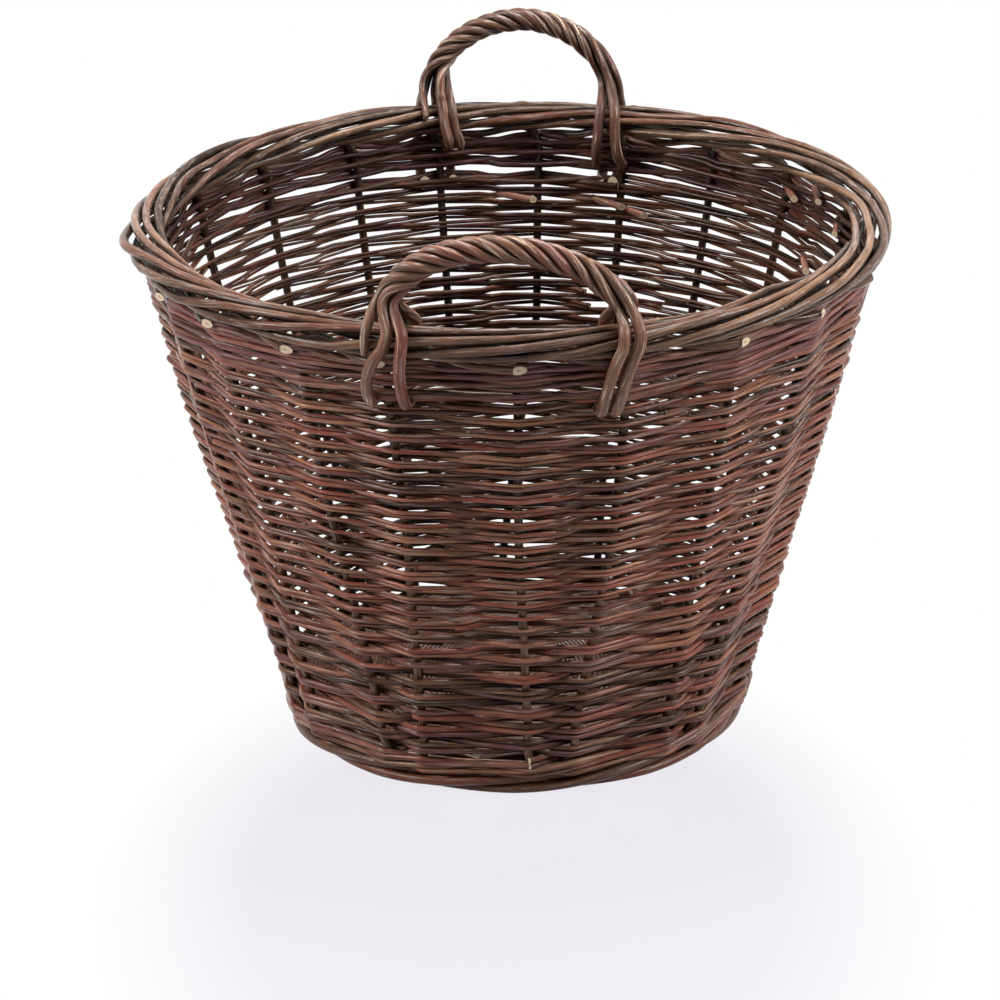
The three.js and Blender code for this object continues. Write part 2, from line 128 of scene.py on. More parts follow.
def mix(a, b, share):
    """a + (b - a) * share."""
    return a + (b - a) * share


def ease(low, high, x):
    """A share that rises from 0 at low to 1 at high as 3 t^2 - 2 t^3."""
    t = np.clip((x - low) / (high - low), 0.0, 1.0)
    return t * t * (3.0 - 2.0 * t)


def bump_at(middle, width, x):
    """exp(-((x - middle) / width)^2)."""
    return np.exp(-((x - middle) / width) ** 2)


def lengths_along(path):
    """The sum of the distances from point to point, starting at 0."""
    steps = np.linalg.norm(np.diff(path[:, :3], axis=0), axis=1)
    return np.concatenate([[0.0], np.cumsum(steps)])


def smooth(points, step):
    """A cubic curve through the points, sampled every "step" of its length.

    Between two points it is the Hermite cubic, whose slopes are the weighted means of the
    slopes of the straight pieces on either side."""
    points = np.asarray(points, dtype=float)
    s = lengths_along(points)
    h = np.diff(s)[:, None]
    slopes = np.diff(points, axis=0) / h
    inner = (slopes[:-1] * h[1:] + slopes[1:] * h[:-1]) / (h[:-1] + h[1:])
    m = np.concatenate([slopes[:1], inner, slopes[-1:]])
    q = np.linspace(0.0, s[-1], max(int(np.ceil(s[-1] / step)), 2) + 1)
    i = np.clip(np.searchsorted(s, q, side="right") - 1, 0, len(h) - 1)
    t = ((q - s[i]) / h[i, 0])[:, None]
    start = (1 + 2 * t) * (1 - t) ** 2 * points[i] + t * (1 - t) ** 2 * h[i] * m[i]
    return start + t * t * (3 - 2 * t) * points[i + 1] + t * t * (t - 1) * h[i] * m[i + 1]


def around(mean, spread, least=0.0):
    """A random share near the mean, kept between "least" and 1."""
    return np.clip(rng.normal(mean, spread), least, 1)


def wander(places, every, spread):
    """Random offsets of the given spread at each "every" of the places, joined by straight lines."""
    knots = np.arange(np.floor(places[0] / every), np.ceil(places[-1] / every) + 2) * every
    return np.interp(places, knots, rng.normal(0, spread, len(knots)))


# %% Light along the creases
crease_light = 0.06


def angles_round(sides):
    """The angles s of a ring's points round a rod, from its "side" on."""
    return 2 * np.pi * np.arange(sides) / sides


def light_round(sides, under, over, power=2):
    """1 - under max(0, -cos s)^power - over max(0, cos s)^(2 power)."""
    c = np.cos(angles_round(sides))
    return 1 - under * np.maximum(0, -c) ** power - over * np.maximum(0, c) ** (2 * power)


def light_in_rope(sides):
    """Full on the side that faces out of a rope, and low from where a rod touches its fellows."""
    return mix(crease_light, 1.0, ease(-0.15, 0.85, np.cos(angles_round(sides))))


# %% A rod's surface
swelling = ((31, 1), (13, -1), (61, 0))  # lengths of slow waves, and how often each winds round the rod


class Rods:
    """Rods that together make one piece, with the faces and the attributes of them all."""

    def __init__(self):
        self.points, self.space, self.traits = [], [], []
        self.quads, self.triangles = [], []
        self.count = 0

    def add(self, path, radius, side, sides=8, flat=1.0, tone=0.5, hue=0.5, light=1.0,
            buds=(), slants=(0.0, 0.0), slant_way=UP, rough=0.0):
        """P(i, s) = path(i) + r(i, s) (cos s u(i) + flat sin s v(i)), closed by a fan at each end.

        u is "side" made square to the path, v = ahead x u. A bud (place, turn, height, width)
        adds height * exp(-((length - place) / width)^2) * max(0, cos(s - turn))^2 to r, and
        "rough" adds a slow random swelling. A slant pushes an end ring's points along the path,
        by slant times how far they stand towards slant_way, so that the cut faces that way.
        "light" is one share, one for each ring, or a grid of rings by sides."""
        n = len(path)
        along = lengths_along(path)
        ahead = unit(np.gradient(path, axis=0))
        side = np.broadcast_to(side, path.shape)
        u = unit(side - ahead * (side * ahead).sum(1, keepdims=True))
        v = np.cross(ahead, u)
        turn = angles_round(sides)
        r = np.broadcast_to(radius, (n,))[:, None] * np.ones((n, sides))
        if rough:
            phase = rng.uniform(0, 2 * np.pi, len(swelling))
            swell = [np.sin(along[:, None] / wave + way * turn + start)
                     for (wave, way), start in zip(swelling, phase)]
            r = r * (1 + rough * sum(swell))
        for place, way, height, width in buds:
            facing = np.maximum(0.0, np.cos(turn - way)) ** 2
            r = r + height * bump_at(place, width, along)[:, None] * facing
        across = r * np.cos(turn), flat * r * np.sin(turn)
        offset = across[0][..., None] * u[:, None] + across[1][..., None] * v[:, None]
        ring = path[:, None] + offset
        for end, slant, way in zip((0, -1), slants, (1, -1)):
            ring[end] += way * slant * (offset[end] @ np.asarray(slant_way))[:, None] * ahead[end]
        start = rng.uniform(0, 1000)
        space = np.stack([np.broadcast_to((along + start)[:, None], r.shape), *across], axis=-1)
        lit = light if np.ndim(light) == 2 else np.reshape(light, (-1, 1))
        lit = np.broadcast_to(lit, (n, sides)).ravel()
        trait = np.column_stack([np.full(n * sides, tone), np.full(n * sides, hue), lit])
        self.points += [ring.reshape(-1, 3), ring[[0, -1]].mean(1)]
        self.space += [space.reshape(-1, 3), np.array([[start, 0, 0], [start + along[-1], 0, 0]])]
        self.traits += [trait, trait[[0, -1]]]
        i, s = np.meshgrid(np.arange(n - 1), np.arange(sides), indexing="ij")
        a, b = i * sides + s, i * sides + (s + 1) % sides
        self.quads.append(np.stack([a, b, b + sides, a + sides], axis=-1).reshape(-1, 4) + self.count)
        s, t = np.arange(sides), (np.arange(sides) + 1) % sides
        first = np.stack([np.full(sides, n * sides), t, s], axis=-1)
        last = np.stack([np.full(sides, n * sides + 1), (n - 1) * sides + s, (n - 1) * sides + t], axis=-1)
        self.triangles += [first + self.count, last + self.count]
        self.count += n * sides + 2

    def piece(self, name, node, slot, bark):
        """One mesh of all the rods, in metres, that rides on the body and replaces its solid."""
        points, quads = np.concatenate(self.points) * MM, np.concatenate(self.quads)
        triangles = np.concatenate(self.triangles)
        corners = np.concatenate([quads.ravel(), triangles.ravel()])
        starts = np.concatenate([4 * np.arange(len(quads)), 4 * len(quads) + 3 * np.arange(len(triangles))])
        cut = np.repeat([0, 1], [len(quads), len(triangles)]).astype(np.int32)
        mesh = bpy.data.meshes.new(name)
        mesh.vertices.add(len(points))
        mesh.vertices.foreach_set("co", points.astype(np.float32).ravel())
        mesh.loops.add(len(corners))
        mesh.loops.foreach_set("vertex_index", corners.astype(np.int32))
        mesh.polygons.add(len(starts))
        mesh.polygons.foreach_set("loop_start", starts.astype(np.int32))
        mesh.update(calc_edges=True)
        mesh.polygons.foreach_set("use_smooth", cut == 0)
        mesh.polygons.foreach_set("material_index", cut)
        for key, values in (("rod_space", self.space), ("rod_traits", self.traits)):
            layer = mesh.attributes.new(key, "FLOAT_VECTOR", "POINT")
            layer.data.foreach_set("vector", np.concatenate(values).astype(np.float32).ravel())
        mesh.materials.append(bark)
        mesh.materials.append(cut_willow)
        thing = placed(name, mesh)
        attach(thing, "root")
        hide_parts(node)
        return 2 * len(quads) + len(triangles)


def random_buds(length, radius, spacing=46.0):
    """A bud in each "spacing" of the rod, each one turned about 144 degrees on from the last."""
    count = int(length / spacing)
    places = (np.arange(count) + rng.uniform(0.2, 0.8, count)) * spacing
    turns = np.radians(144) * np.arange(count) + rng.uniform(-0.5, 0.5, count)
    heights = radius * rng.uniform(0.10, 0.30, count)
    return list(zip(places, turns, heights, rng.uniform(2.2, 4.2, count)))


# %% [markdown]
# ## The bark
# Dry willow bark is a satin skin with streaks along the rod, redder and plum coloured patches,
# silvery scuffs, little pale breathing spots and, where a rod was twisted, pale cracks. No two
# rods are alike: some are olive brown, some red, some plum. One node group makes that pattern
# from the straight space of the rod, and each finish of the basket places it with its own
# colours. The shader itself stays in the material.

# %% Node helpers
def node(tree, kind, inputs=None, **settings):
    """A new node; "inputs" holds values, or sockets to link from."""
    made = tree.nodes.new(kind)
    for key, value in settings.items():
        setattr(made, key, value)
    for key, value in (inputs or {}).items():
        if isinstance(value, bpy.types.NodeSocket):
            tree.links.new(value, made.inputs[key])
        else:
            made.inputs[key].default_value = value
    return made


def maths(tree, operation, *values, clamp=False):
    """The result of one Math node."""
    inputs = dict(enumerate(values))
    return node(tree, "ShaderNodeMath", inputs, operation=operation, use_clamp=clamp).outputs[0]


def reach(tree, value, low, high, to_low=0.0, to_high=1.0):
    """The value moved from the range low to high into another range, and kept inside it."""
    return node(tree, "ShaderNodeMapRange", {0: value, 1: low, 2: high, 3: to_low, 4: to_high}).outputs[0]


def blend_colours(tree, a, b, share, kind="MIX"):
    """The colour of one Mix node."""
    inputs = {0: share, 6: a, 7: b}      # a Mix node's colours are its sockets 6 and 7
    return node(tree, "ShaderNodeMix", inputs, data_type="RGBA", blend_type=kind).outputs[2]


def stretched(tree, space, stretch):
    """The rod's straight space, scaled along the rod and across it."""
    return node(tree, "ShaderNodeVectorMath", {0: space, 1: stretch}, operation="MULTIPLY").outputs[0]


def rod_noise(tree, space, stretch, detail=3.0):
    """Noise whose grains are 1 / stretch millimetres long, along and across the rod."""
    inputs = {"Vector": stretched(tree, space, stretch), "Scale": 1.0, "Detail": detail}
    return node(tree, "ShaderNodeTexNoise", inputs).outputs["Fac"]


# %% The bark's pattern
scuffed_bark = (0.50, 0.40, 0.36, 1.0)
pale_spots = (0.45, 0.33, 0.24, 1.0)
cracked_bark = (0.66, 0.50, 0.34, 1.0)


def bark_pattern():
    """Colour = mix(Dark, Light, tone + streaks), turned redder or plummer, marked, then dimmed by painted
    shade.

    Each noise is given by its grains in a millimetre, along the rod and across it. A range after
    it, as 0.52 to 0.74, is the part of the noise that counts: a high one leaves few marks."""
    group = bpy.data.node_groups.new("willow_bark_pattern", "ShaderNodeTree")
    for name in ("Dark", "Light", "Red", "Plum"):
        group.interface.new_socket(name, in_out="INPUT", socket_type="NodeSocketColor")
    for name in ("Roughness", "Scuffs", "Cracks"):
        group.interface.new_socket(name, in_out="INPUT", socket_type="NodeSocketFloat")
    group.interface.new_socket("Color", in_out="OUTPUT", socket_type="NodeSocketColor")
    for name in ("Roughness", "Height"):
        group.interface.new_socket(name, in_out="OUTPUT", socket_type="NodeSocketFloat")
    given = group.nodes.new("NodeGroupInput").outputs
    space = node(group, "ShaderNodeAttribute", attribute_name="rod_space").outputs["Vector"]
    traits = node(group, "ShaderNodeAttribute", attribute_name="rod_traits").outputs["Vector"]
    tone, hue, light = node(group, "ShaderNodeSeparateXYZ", {0: traits}).outputs

    streaks = rod_noise(group, space, (0.022, 0.34, 0.34))
    fibres = rod_noise(group, space, (0.08, 2.3, 2.3), detail=4.0)
    patches = rod_noise(group, space, (0.011, 0.05, 0.05), detail=1.0)
    patchy = reach(group, patches, 0.3, 0.6, 0.35, 1.0)
    redder = maths(group, "MULTIPLY", reach(group, hue, 0.5, 0.1), patchy)
    plummer = maths(group, "MULTIPLY", reach(group, hue, 0.6, 1.0), patchy)
    scuffs = reach(group, rod_noise(group, space, (0.05, 0.7, 0.7)), 0.52, 0.74)
    scuffs = maths(group, "MULTIPLY", scuffs, given["Scuffs"])
    spotted = stretched(group, space, (0.045, 0.30, 0.30))
    cells = node(group, "ShaderNodeTexVoronoi", {"Vector": spotted, "Scale": 1.0}).outputs["Distance"]
    spots = reach(group, cells, 0.15, 0.06, 0.0, 0.5)
    cracks = reach(group, rod_noise(group, space, (0.035, 0.55, 0.55), detail=5.0), 0.60, 0.66)
    cracks = maths(group, "MULTIPLY", cracks, given["Cracks"])

    lightness = maths(group, "ADD", tone, reach(group, streaks, 0.2, 0.8, -0.55, 0.55), clamp=True)
    colour = blend_colours(group, given["Dark"], given["Light"], lightness)
    colour = blend_colours(group, colour, given["Red"], redder)
    colour = blend_colours(group, colour, given["Plum"], plummer)
    colour = blend_colours(group, colour, reach(group, fibres, 0.25, 0.75, 0.4, 1.6), 1.0, "MULTIPLY")
    for marked, share in ((scuffed_bark, scuffs), (pale_spots, spots), (cracked_bark, cracks)):
        colour = blend_colours(group, colour, marked, share)
    # painted light and shade: the colour is multiplied by the light trait of the rods
    colour = blend_colours(group, colour, reach(group, light, 0.0, 1.0, 0.15, 1.0), 1.0, "MULTIPLY")

    rough = maths(group, "ADD", given["Roughness"], reach(group, fibres, 0.2, 0.8, -0.1, 0.14))
    height = maths(group, "MULTIPLY_ADD", streaks, 0.6, maths(group, "MULTIPLY", fibres, 0.35))
    height = maths(group, "MULTIPLY_ADD", spots, 0.3, height)
    height = maths(group, "MULTIPLY_ADD", cracks, -0.5, height)
    out = group.nodes.new("NodeGroupOutput")
    for name, socket in (("Color", colour), ("Roughness", rough), ("Height", height)):
        group.links.new(socket, out.inputs[name])
    return group


bark_group = bark_pattern()
bump_depth = 0.6              # from the lowest to the highest part of the pattern


def principled(name):
    """A new material, its node tree and its shader's sockets."""
    material = bpy.data.materials.new(name)
    material.use_nodes = True
    tree = material.node_tree
    return material, tree, tree.nodes["Principled BSDF"].inputs


def bark(name, dark, light, red, plum, roughness=0.36, specular=0.24, scuffs=0.3, cracks=0.0, relief=0.6):
    """A satin bark in four colours, with the pattern's height as bump."""
    material, tree, shader = principled(name)
    shader["Specular IOR Level"].default_value = specular
    pattern = node(tree, "ShaderNodeGroup", node_tree=bark_group)
    for key, colour in (("Dark", dark), ("Light", light), ("Red", red), ("Plum", plum)):
        pattern.inputs[key].default_value = (*colour, 1.0)
    for key, value in (("Roughness", roughness), ("Scuffs", scuffs), ("Cracks", cracks)):
        pattern.inputs[key].default_value = value
    lift = {"Strength": relief, "Distance": bump_depth * MM, "Height": pattern.outputs["Height"]}
    tree.links.new(pattern.outputs["Color"], shader["Base Color"])
    tree.links.new(pattern.outputs["Roughness"], shader["Roughness"])
    tree.links.new(node(tree, "ShaderNodeBump", lift).outputs[0], shader["Normal"])
    return material


# %% The finishes of this basket
stake_bark = bark("border_and_stake_bark", (0.024, 0.011, 0.006), (0.250, 0.135, 0.074),
                  (0.15, 0.048, 0.026), (0.115, 0.050, 0.040), roughness=0.13, scuffs=0.45, specular=0.18)
siding_bark = bark("siding_bark", (0.044, 0.018, 0.010), (0.400, 0.180, 0.095),
                   (0.26, 0.070, 0.042), (0.16, 0.054, 0.058), roughness=0.13, scuffs=0.5, specular=0.13)
wale_bark = bark("wale_bark", (0.060, 0.023, 0.017), (0.270, 0.125, 0.080),
                 (0.21, 0.056, 0.044), (0.16, 0.054, 0.062), roughness=0.16, specular=0.14)
foot_bark = bark("foot_bark", (0.062, 0.024, 0.012), (0.200, 0.092, 0.045),
                 (0.17, 0.044, 0.022), (0.12, 0.040, 0.036), roughness=0.3)
handle_bark = bark("handle_bark", (0.052, 0.018, 0.009), (0.205, 0.088, 0.042),
                   (0.16, 0.040, 0.019), (0.10, 0.036, 0.028), roughness=0.3, specular=0.35,
                   scuffs=0.5, cracks=0.85, relief=0.9)
stick_bark = bark("base_stick_bark", (0.075, 0.040, 0.022), (0.190, 0.120, 0.070),
                  (0.14, 0.055, 0.030), (0.10, 0.050, 0.042))
base_bark = bark("base_weaver_bark", (0.060, 0.024, 0.014), (0.180, 0.085, 0.050),
                 (0.15, 0.040, 0.024), (0.10, 0.032, 0.036))


# %% Cut ends
wood_dark, wood_light = (0.50, 0.36, 0.22, 1.0), (0.80, 0.66, 0.46, 1.0)
pith = (0.36, 0.24, 0.15, 1.0)
pith_edge = 0.35, 0.9         # from the middle of the rod
dull = 0.7                    # the roughness of cut wood


def cut_wood():
    """Pale speckled wood where a rod is cut, with darker pith in its middle."""
    material, tree, shader = principled("cut_willow")
    shader["Roughness"].default_value = dull
    space = node(tree, "ShaderNodeAttribute", attribute_name="rod_space").outputs["Vector"]
    flat = stretched(tree, space, (0, 1, 1))
    out = node(tree, "ShaderNodeVectorMath", {0: flat}, operation="LENGTH").outputs["Value"]
    wood = blend_colours(tree, wood_dark, wood_light, rod_noise(tree, flat, (1.0, 1.6, 1.6)))
    colour = blend_colours(tree, pith, wood, reach(tree, out, *pith_edge))
    tree.links.new(colour, shader["Base Color"])
    return material


cut_willow = cut_wood()

# %% [markdown]
# ## The wall's shape
# The stakes stand on a cone that swells a little. At the foot they stand in pairs beside the
# spokes, and half way up they have spread out evenly. No stake is quite where it should be, as
# on any basket made by hand, so each has its own drift at the rim. These are the sizes of the
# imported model, so that the rods lie where its solids lie.

# %% Stakes
stake_count = 21
spoke_count = 10
odd_stake = 12                # the one that has no spoke beside it
first_stake, first_spoke = -87.5, -81.5
stake_spread = 5.2            # degrees from a spoke to its stakes
stake_drift = np.array([
    -1.5, -1.6, 0, 0, 0.8, -1, 0, 3.5, 3.4, 3.2, 1,
    1, -1, 0, 0.8, -1.2, 1, 0.5, -1.5, -2, -4.4,
])
wall_foot_radius, wall_foot_height = 160.5, 29.0
wall_top_radius, border_height = 246.0, 353.0
wall_bulge = 5.0
even_share = 0.53             # of the wall's height, where the stakes have spread out evenly
even_height = mix(wall_foot_height, border_height, even_share)
clearance = 0.35
solid_stake_radius = 3.2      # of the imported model's stakes, which fix the sizes beside them
stake_radius = 2.9            # where a stake stands in the wall
wall_slope = (wall_top_radius - wall_foot_radius) / (border_height - wall_foot_height)


def wall_radius(height):
    """A straight slope plus bulge * 27/4 t^2 (1 - t), which is highest at two thirds of the way up."""
    t = np.clip((height - wall_foot_height) / (border_height - wall_foot_height), 0, 1)
    return wall_foot_radius + wall_slope * (height - wall_foot_height) + wall_bulge * 27 / 4 * t * t * (1 - t)


def rim_azimuth(k):
    """Even steps from the first stake, plus the stake's own drift. k may be any array of integers."""
    return first_stake + 360 * k / stake_count + stake_drift[np.mod(k, stake_count)]


def rim_between(place):
    """The azimuth along the rim at a place between two stakes, as 2.5 is half way from 2 to 3."""
    whole = np.floor(place).astype(int)
    return mix(rim_azimuth(whole), rim_azimuth(whole + 1), place - whole)


def spoke_beside(place):
    """The azimuth of the spoke that a stake lies beside, and 1 after it or -1 before it."""
    order = np.where(place < odd_stake, place, place - 1)
    return first_spoke + 360 * (order // 2) / spoke_count, np.where(order % 2 == 1, 1, -1)


def foot_azimuth(k):
    """Before or after the stake's spoke; the odd stake is between two spokes."""
    rounds, place = np.divmod(k, stake_count)
    spoke, side = spoke_beside(place)
    odd = first_spoke + 360 * (odd_stake / 2 - 0.5) / spoke_count
    return 360 * rounds + np.where(place == odd_stake, odd, spoke + side * stake_spread)


def stake_azimuth(k, height):
    """The foot's azimuth below, the rim's above, and a straight mix of them in between."""
    rise = np.clip((height - wall_foot_height) / (even_height - wall_foot_height), 0, 1)
    return mix(foot_azimuth(k), rim_azimuth(k), rise)


# %% [markdown]
# ## Weaving
# A woven rod goes outside one stake and inside the next. Between two stakes it runs nearly
# straight, and it bends where it leans on a stake: that is what gives the wall its facets and
# its zigzags. So its path is the straight mix of the places of the two stakes, pushed out or in
# by the stake's thickness and its own.

# %% The path of a woven rod
span_shares = np.array([0.0, 0.045, 0.12, 0.24, 0.38, 0.5, 0.62, 0.76, 0.88, 0.955])
seat = 0.3                    # how far a rod stands off its stake
bend_share = 0.06             # the share of a span on either side of a stake in which a rod bends
leaning = 0.2                 # how much of its swing a rod makes past the middle of a span
wave_sizes = (1.5, 0.9, 0.5)


def stations_between(first, last):
    """Places along the wall counted in stakes, ten to a span and closer together near a stake."""
    every = (np.arange(np.floor(first), np.ceil(last))[:, None] + span_shares).ravel()
    inside = every[(every > first + 0.01) & (every < last - 0.01)]
    return np.concatenate([[first], inside, [last]])


def stake_before(places):
    """The whole number of the stake at or before each place."""
    return np.floor(places + 1e-9).astype(int)


def undulation(azimuth, height):
    """Slow waves of the rows up and down, in millimetres, as rows in a handmade wall have."""
    a = np.radians(azimuth)
    waves = np.sin([a + 0.6 + height / 130, 3 * a + 1.9 - height / 47, 7 * a + height / 23])
    return wave_sizes[0] * waves[0] + wave_sizes[1] * waves[1] + wave_sizes[2] * waves[2]


def woven_path(places, height, away):
    """(1 - t) S(k) + t S(k + 1) + away * outward, where S is a stake's place at that height.

    Then each point at a stake moves half way to the mean of its neighbours, which rounds the bend."""
    whole = stake_before(places)
    t = (places - whole)[:, None]
    here = polar(stake_azimuth(whole, height), wall_radius(height), height)
    there = polar(stake_azimuth(whole + 1, height), wall_radius(height), height)
    chord = mix(here, there, t)
    path = chord + away[:, None] * unit(chord * LEVEL)
    at_stake = np.abs(t[1:-1] - np.round(t[1:-1])) < bend_share
    path[1:-1] = mix(path[1:-1], (path[:-2] + path[2:]) / 2, 0.5 * at_stake)
    return path


def swing_between(places, outside):
    """1 at stakes passed outside and -1 at the others, joined by t - leaning sin(2 pi t) / (2 pi)."""
    whole = stake_before(places)
    t = places - whole
    t = t - leaning * np.sin(2 * np.pi * t) / (2 * np.pi)
    here, there = (np.where(outside(k), 1.0, -1.0) for k in (whole, whole + 1))
    return mix(here, there, t)


# %% [markdown]
# ## The siding
# The wall is slewed: two thin rods are worked together as one row. Each rod tapers from its
# butt to its tip, and when it runs out a new one is laid in. The two are laid in half a rod
# apart, so that a stout butt lies with a slim tip and the row keeps its height. The rows climb
# in one long spiral. With an odd number of stakes, a row that passes outside a stake lies on
# one that passed inside it, and so the gaps show as slits beside each stake. Stouter rods fill
# the lower third, so the rows are further apart there.

# %% Rows
siding_low, siding_high = 27.0, 313.2
thick_pitch, thin_pitch = 6.7, 4.85
thick_until, thin_from = 95.0, 150.0

row_grid = np.append(np.arange(siding_low, siding_high, 0.5), siding_high)


def row_pitch(height):
    """The height of one row."""
    return mix(thick_pitch, thin_pitch, ease(thick_until, thin_from, height))


row_turns = np.append(0.0, np.cumsum(np.diff(row_grid) / row_pitch(row_grid[:-1])))
siding_stations = row_turns[-1] * stake_count


def row_height(turn):
    """The height at which the spiral has made so many turns."""
    return np.interp(turn, row_turns, row_grid)


print("rows of siding:", round(float(row_turns[-1]), 1))

# %% Rods laid end to end
rod_stations = (19.0, 23.0)   # how many stakes a rod reaches past
row_share = 0.292             # a rod's mean radius in shares of its row's height
butt_share, tip_share = 1.26, 0.74
rod_variety = (0.88, 1.12)    # how slim or stout a rod is beside its fellows
end_share = 0.3               # the share of a span in which one rod takes over from the next


class Lane:
    """Rods laid end to end along the whole spiral, each one tapering from its butt to its tip."""

    def __init__(self, head_start):
        """Lengths are random, and the first rod begins before the row does."""
        count = int(siding_stations / rod_stations[0]) + 3
        lengths = rng.uniform(*rod_stations, count)
        self.starts = np.cumsum(lengths) - lengths[0] - head_start
        self.ends = self.starts + lengths
        self.stoutness = rng.uniform(*rod_variety, count)
        self.places = np.stack([self.starts + end_share, self.ends - end_share], axis=1).ravel()
        self.shares = np.outer(self.stoutness, [butt_share, tip_share]).ravel()

    def radius(self, places, pitch):
        """The radius of the rod that lies at each place."""
        return row_share * pitch * np.interp(places, self.places, self.shares)


head_start = 3.0
half_rod = sum(rod_stations) / 4
lanes = [Lane(head_start), Lane(head_start + half_rod)]
stray_spread = 0.32           # how far a row strays up or down
upper_inside = 0.65           # the share of the spans in which the upper rod lies further in
stray_knots = np.arange(int(siding_stations) + 2)
row_stray = rng.normal(0, stray_spread, len(stray_knots))
span_side = np.where(rng.random(len(stray_knots)) < upper_inside, 1.0, -1.0)


def tucked(places, butt_way, tip_way, span=0.55):
    """How far a rod leaves its row at its ends: a straight rise over the last half span."""
    at_butt = np.clip(1 - (places - places[0]) / span, 0, 1)
    at_tip = np.clip(1 - (places[-1] - places) / span, 0, 1)
    return butt_way * at_butt + tip_way * at_tip


rod_sides = 8
inside_light = 0.25           # painted shade: the bark is darker where a rod passes inside the wall
# painted shade on the half of a rod that faces into the basket
inward_light = 0.42
butt_reach, tip_reach = (0.0, 0.5), (0.2, 0.9)
butt_ways = {"a": [-2.4, 1.6], "p": [0.7, 0.3]}       # most ends are tucked in, some stick out
tip_ways = {"a": [-1.4, 1.2], "p": [0.6, 0.4]}
wobble = 0.12
top_stouter = 0.25            # the last row's rods fill the room under the wale
stouter_heights = siding_high - 12, siding_high - 5


def woven_light(swing, sides):
    """Painted shade: darker where the rod passes inside a stake, on the half that faces into the
    basket, where the sine of the angle round the rod is negative, and along the rows that the rod touches."""
    facing_out = ease(-0.6, 0.4, np.sin(angles_round(sides)))
    round_rod = light_round(sides, 0.85, 0.3) * mix(inward_light, 1.0, facing_out)
    return np.outer(mix(inside_light, 1.0, ease(-0.9, 0.6, swing)), round_rod)


def siding_rod(side, n):
    """Rod n of the lower lane (side 0) or the upper one (side 1).

    At a stake the two lie one on the other, so each stands off the row's middle by the radius
    of the other. Between stakes they share the room with the rows above and below: each moves
    to a quarter of the row's height, one a little out and one a little in."""
    lane, other = lanes[side], lanes[1 - side]
    first = max(lane.starts[n] - rng.uniform(*butt_reach), 0.0)
    last = min(lane.ends[n] + rng.uniform(*tip_reach), siding_stations)
    places = stations_between(first, last)
    middle = row_height(places / stake_count)
    pitch = row_pitch(middle)
    taper = mix(butt_share, tip_share, (places - lane.starts[n]) / (lane.ends[n] - lane.starts[n]))
    stouter = 1 + top_stouter * ease(*stouter_heights, middle)
    mine = row_share * pitch * lane.stoutness[n] * taper * stouter
    theirs = other.radius(places, pitch) * stouter
    way = 2 * side - 1
    free = np.sin(np.pi * np.mod(places, 1)) ** 3
    height = middle + way * mix(theirs, pitch / 4, free)
    height = height + np.interp(places, stray_knots, row_stray) + wander(places, 1.0, wobble)
    height = height + undulation(stake_azimuth(np.round(places).astype(int), height), height)
    lean = -way * span_side[np.floor(places).astype(int)]
    nestle = lean * free * np.sqrt(np.maximum((mine + theirs) ** 2 - (pitch / 2) ** 2, 0.0)) / 2
    swing = swing_between(places, lambda k: k % 2 == 0)
    ends = tucked(places, rng.choice(**butt_ways), rng.choice(**tip_ways))
    path = woven_path(places, height, swing * (stake_radius + seat + mine) + nestle + ends)
    return path, mine, woven_light(swing, rod_sides)


# %% Lay the siding
red_band_height, red_band_width = 150.0, 22.0
siding_nodes = [f"siding_{i + 1}" for i in range(4)]
siding = {name: Rods() for name in siding_nodes}
rods_laid = 0
for side in (0, 1):
    for n in range(len(lanes[side].starts)):
        first, last = lanes[side].starts[n], lanes[side].ends[n]
        if last < 2 or first > siding_stations - 2:
            continue
        path, radius, light = siding_rod(side, n)
        middle = path[:, 2].mean()
        part = (middle - siding_low) / (siding_high - siding_low) * len(siding_nodes)
        redder = 0.5 * bump_at(red_band_height, red_band_width, middle)
        home = siding[siding_nodes[int(np.clip(part, 0, len(siding_nodes) - 1))]]
        home.add(path, radius, UP, rod_sides, rough=0.025, light=light,
                 tone=around(0.45, 0.28), hue=np.clip(rng.uniform(0, 1) - redder, 0, 1))
        rods_laid += 1
for name in siding_nodes:
    faces = siding[name].piece(f"{name}_rods", name, "siding_bark", siding_bark)
    print(name, faces, "triangles")
print("siding rods:", rods_laid)

# %% [markdown]
# ## The wales
# A wale locks the rows below and above it. Three stouter rods take turns: each one passes
# outside two stakes and inside the third, and climbs over its fellows as it goes, so that from
# outside the wale looks like a flat rope. Four rounds of it make the plum coloured band under
# the border, and two rounds set up the stakes at the foot.

# %% A wale
wale_strands, wale_sides = 3, 10
wale_rod_stations = (18, 25)
wale_butt, wale_tip = 1.12, 0.86         # in shares of the mean radius
wale_variety = (0.93, 1.07)
wale_overlap = (0.3, 0.8)                # of a span, where one rod ends and the next one begins
wale_stroke = (-0.7, -1, 1, -0.7)        # up or down at each stake, in radii
settles_over = (0.5, 3.4)                # the rounds over which the rows' waves die away towards the top


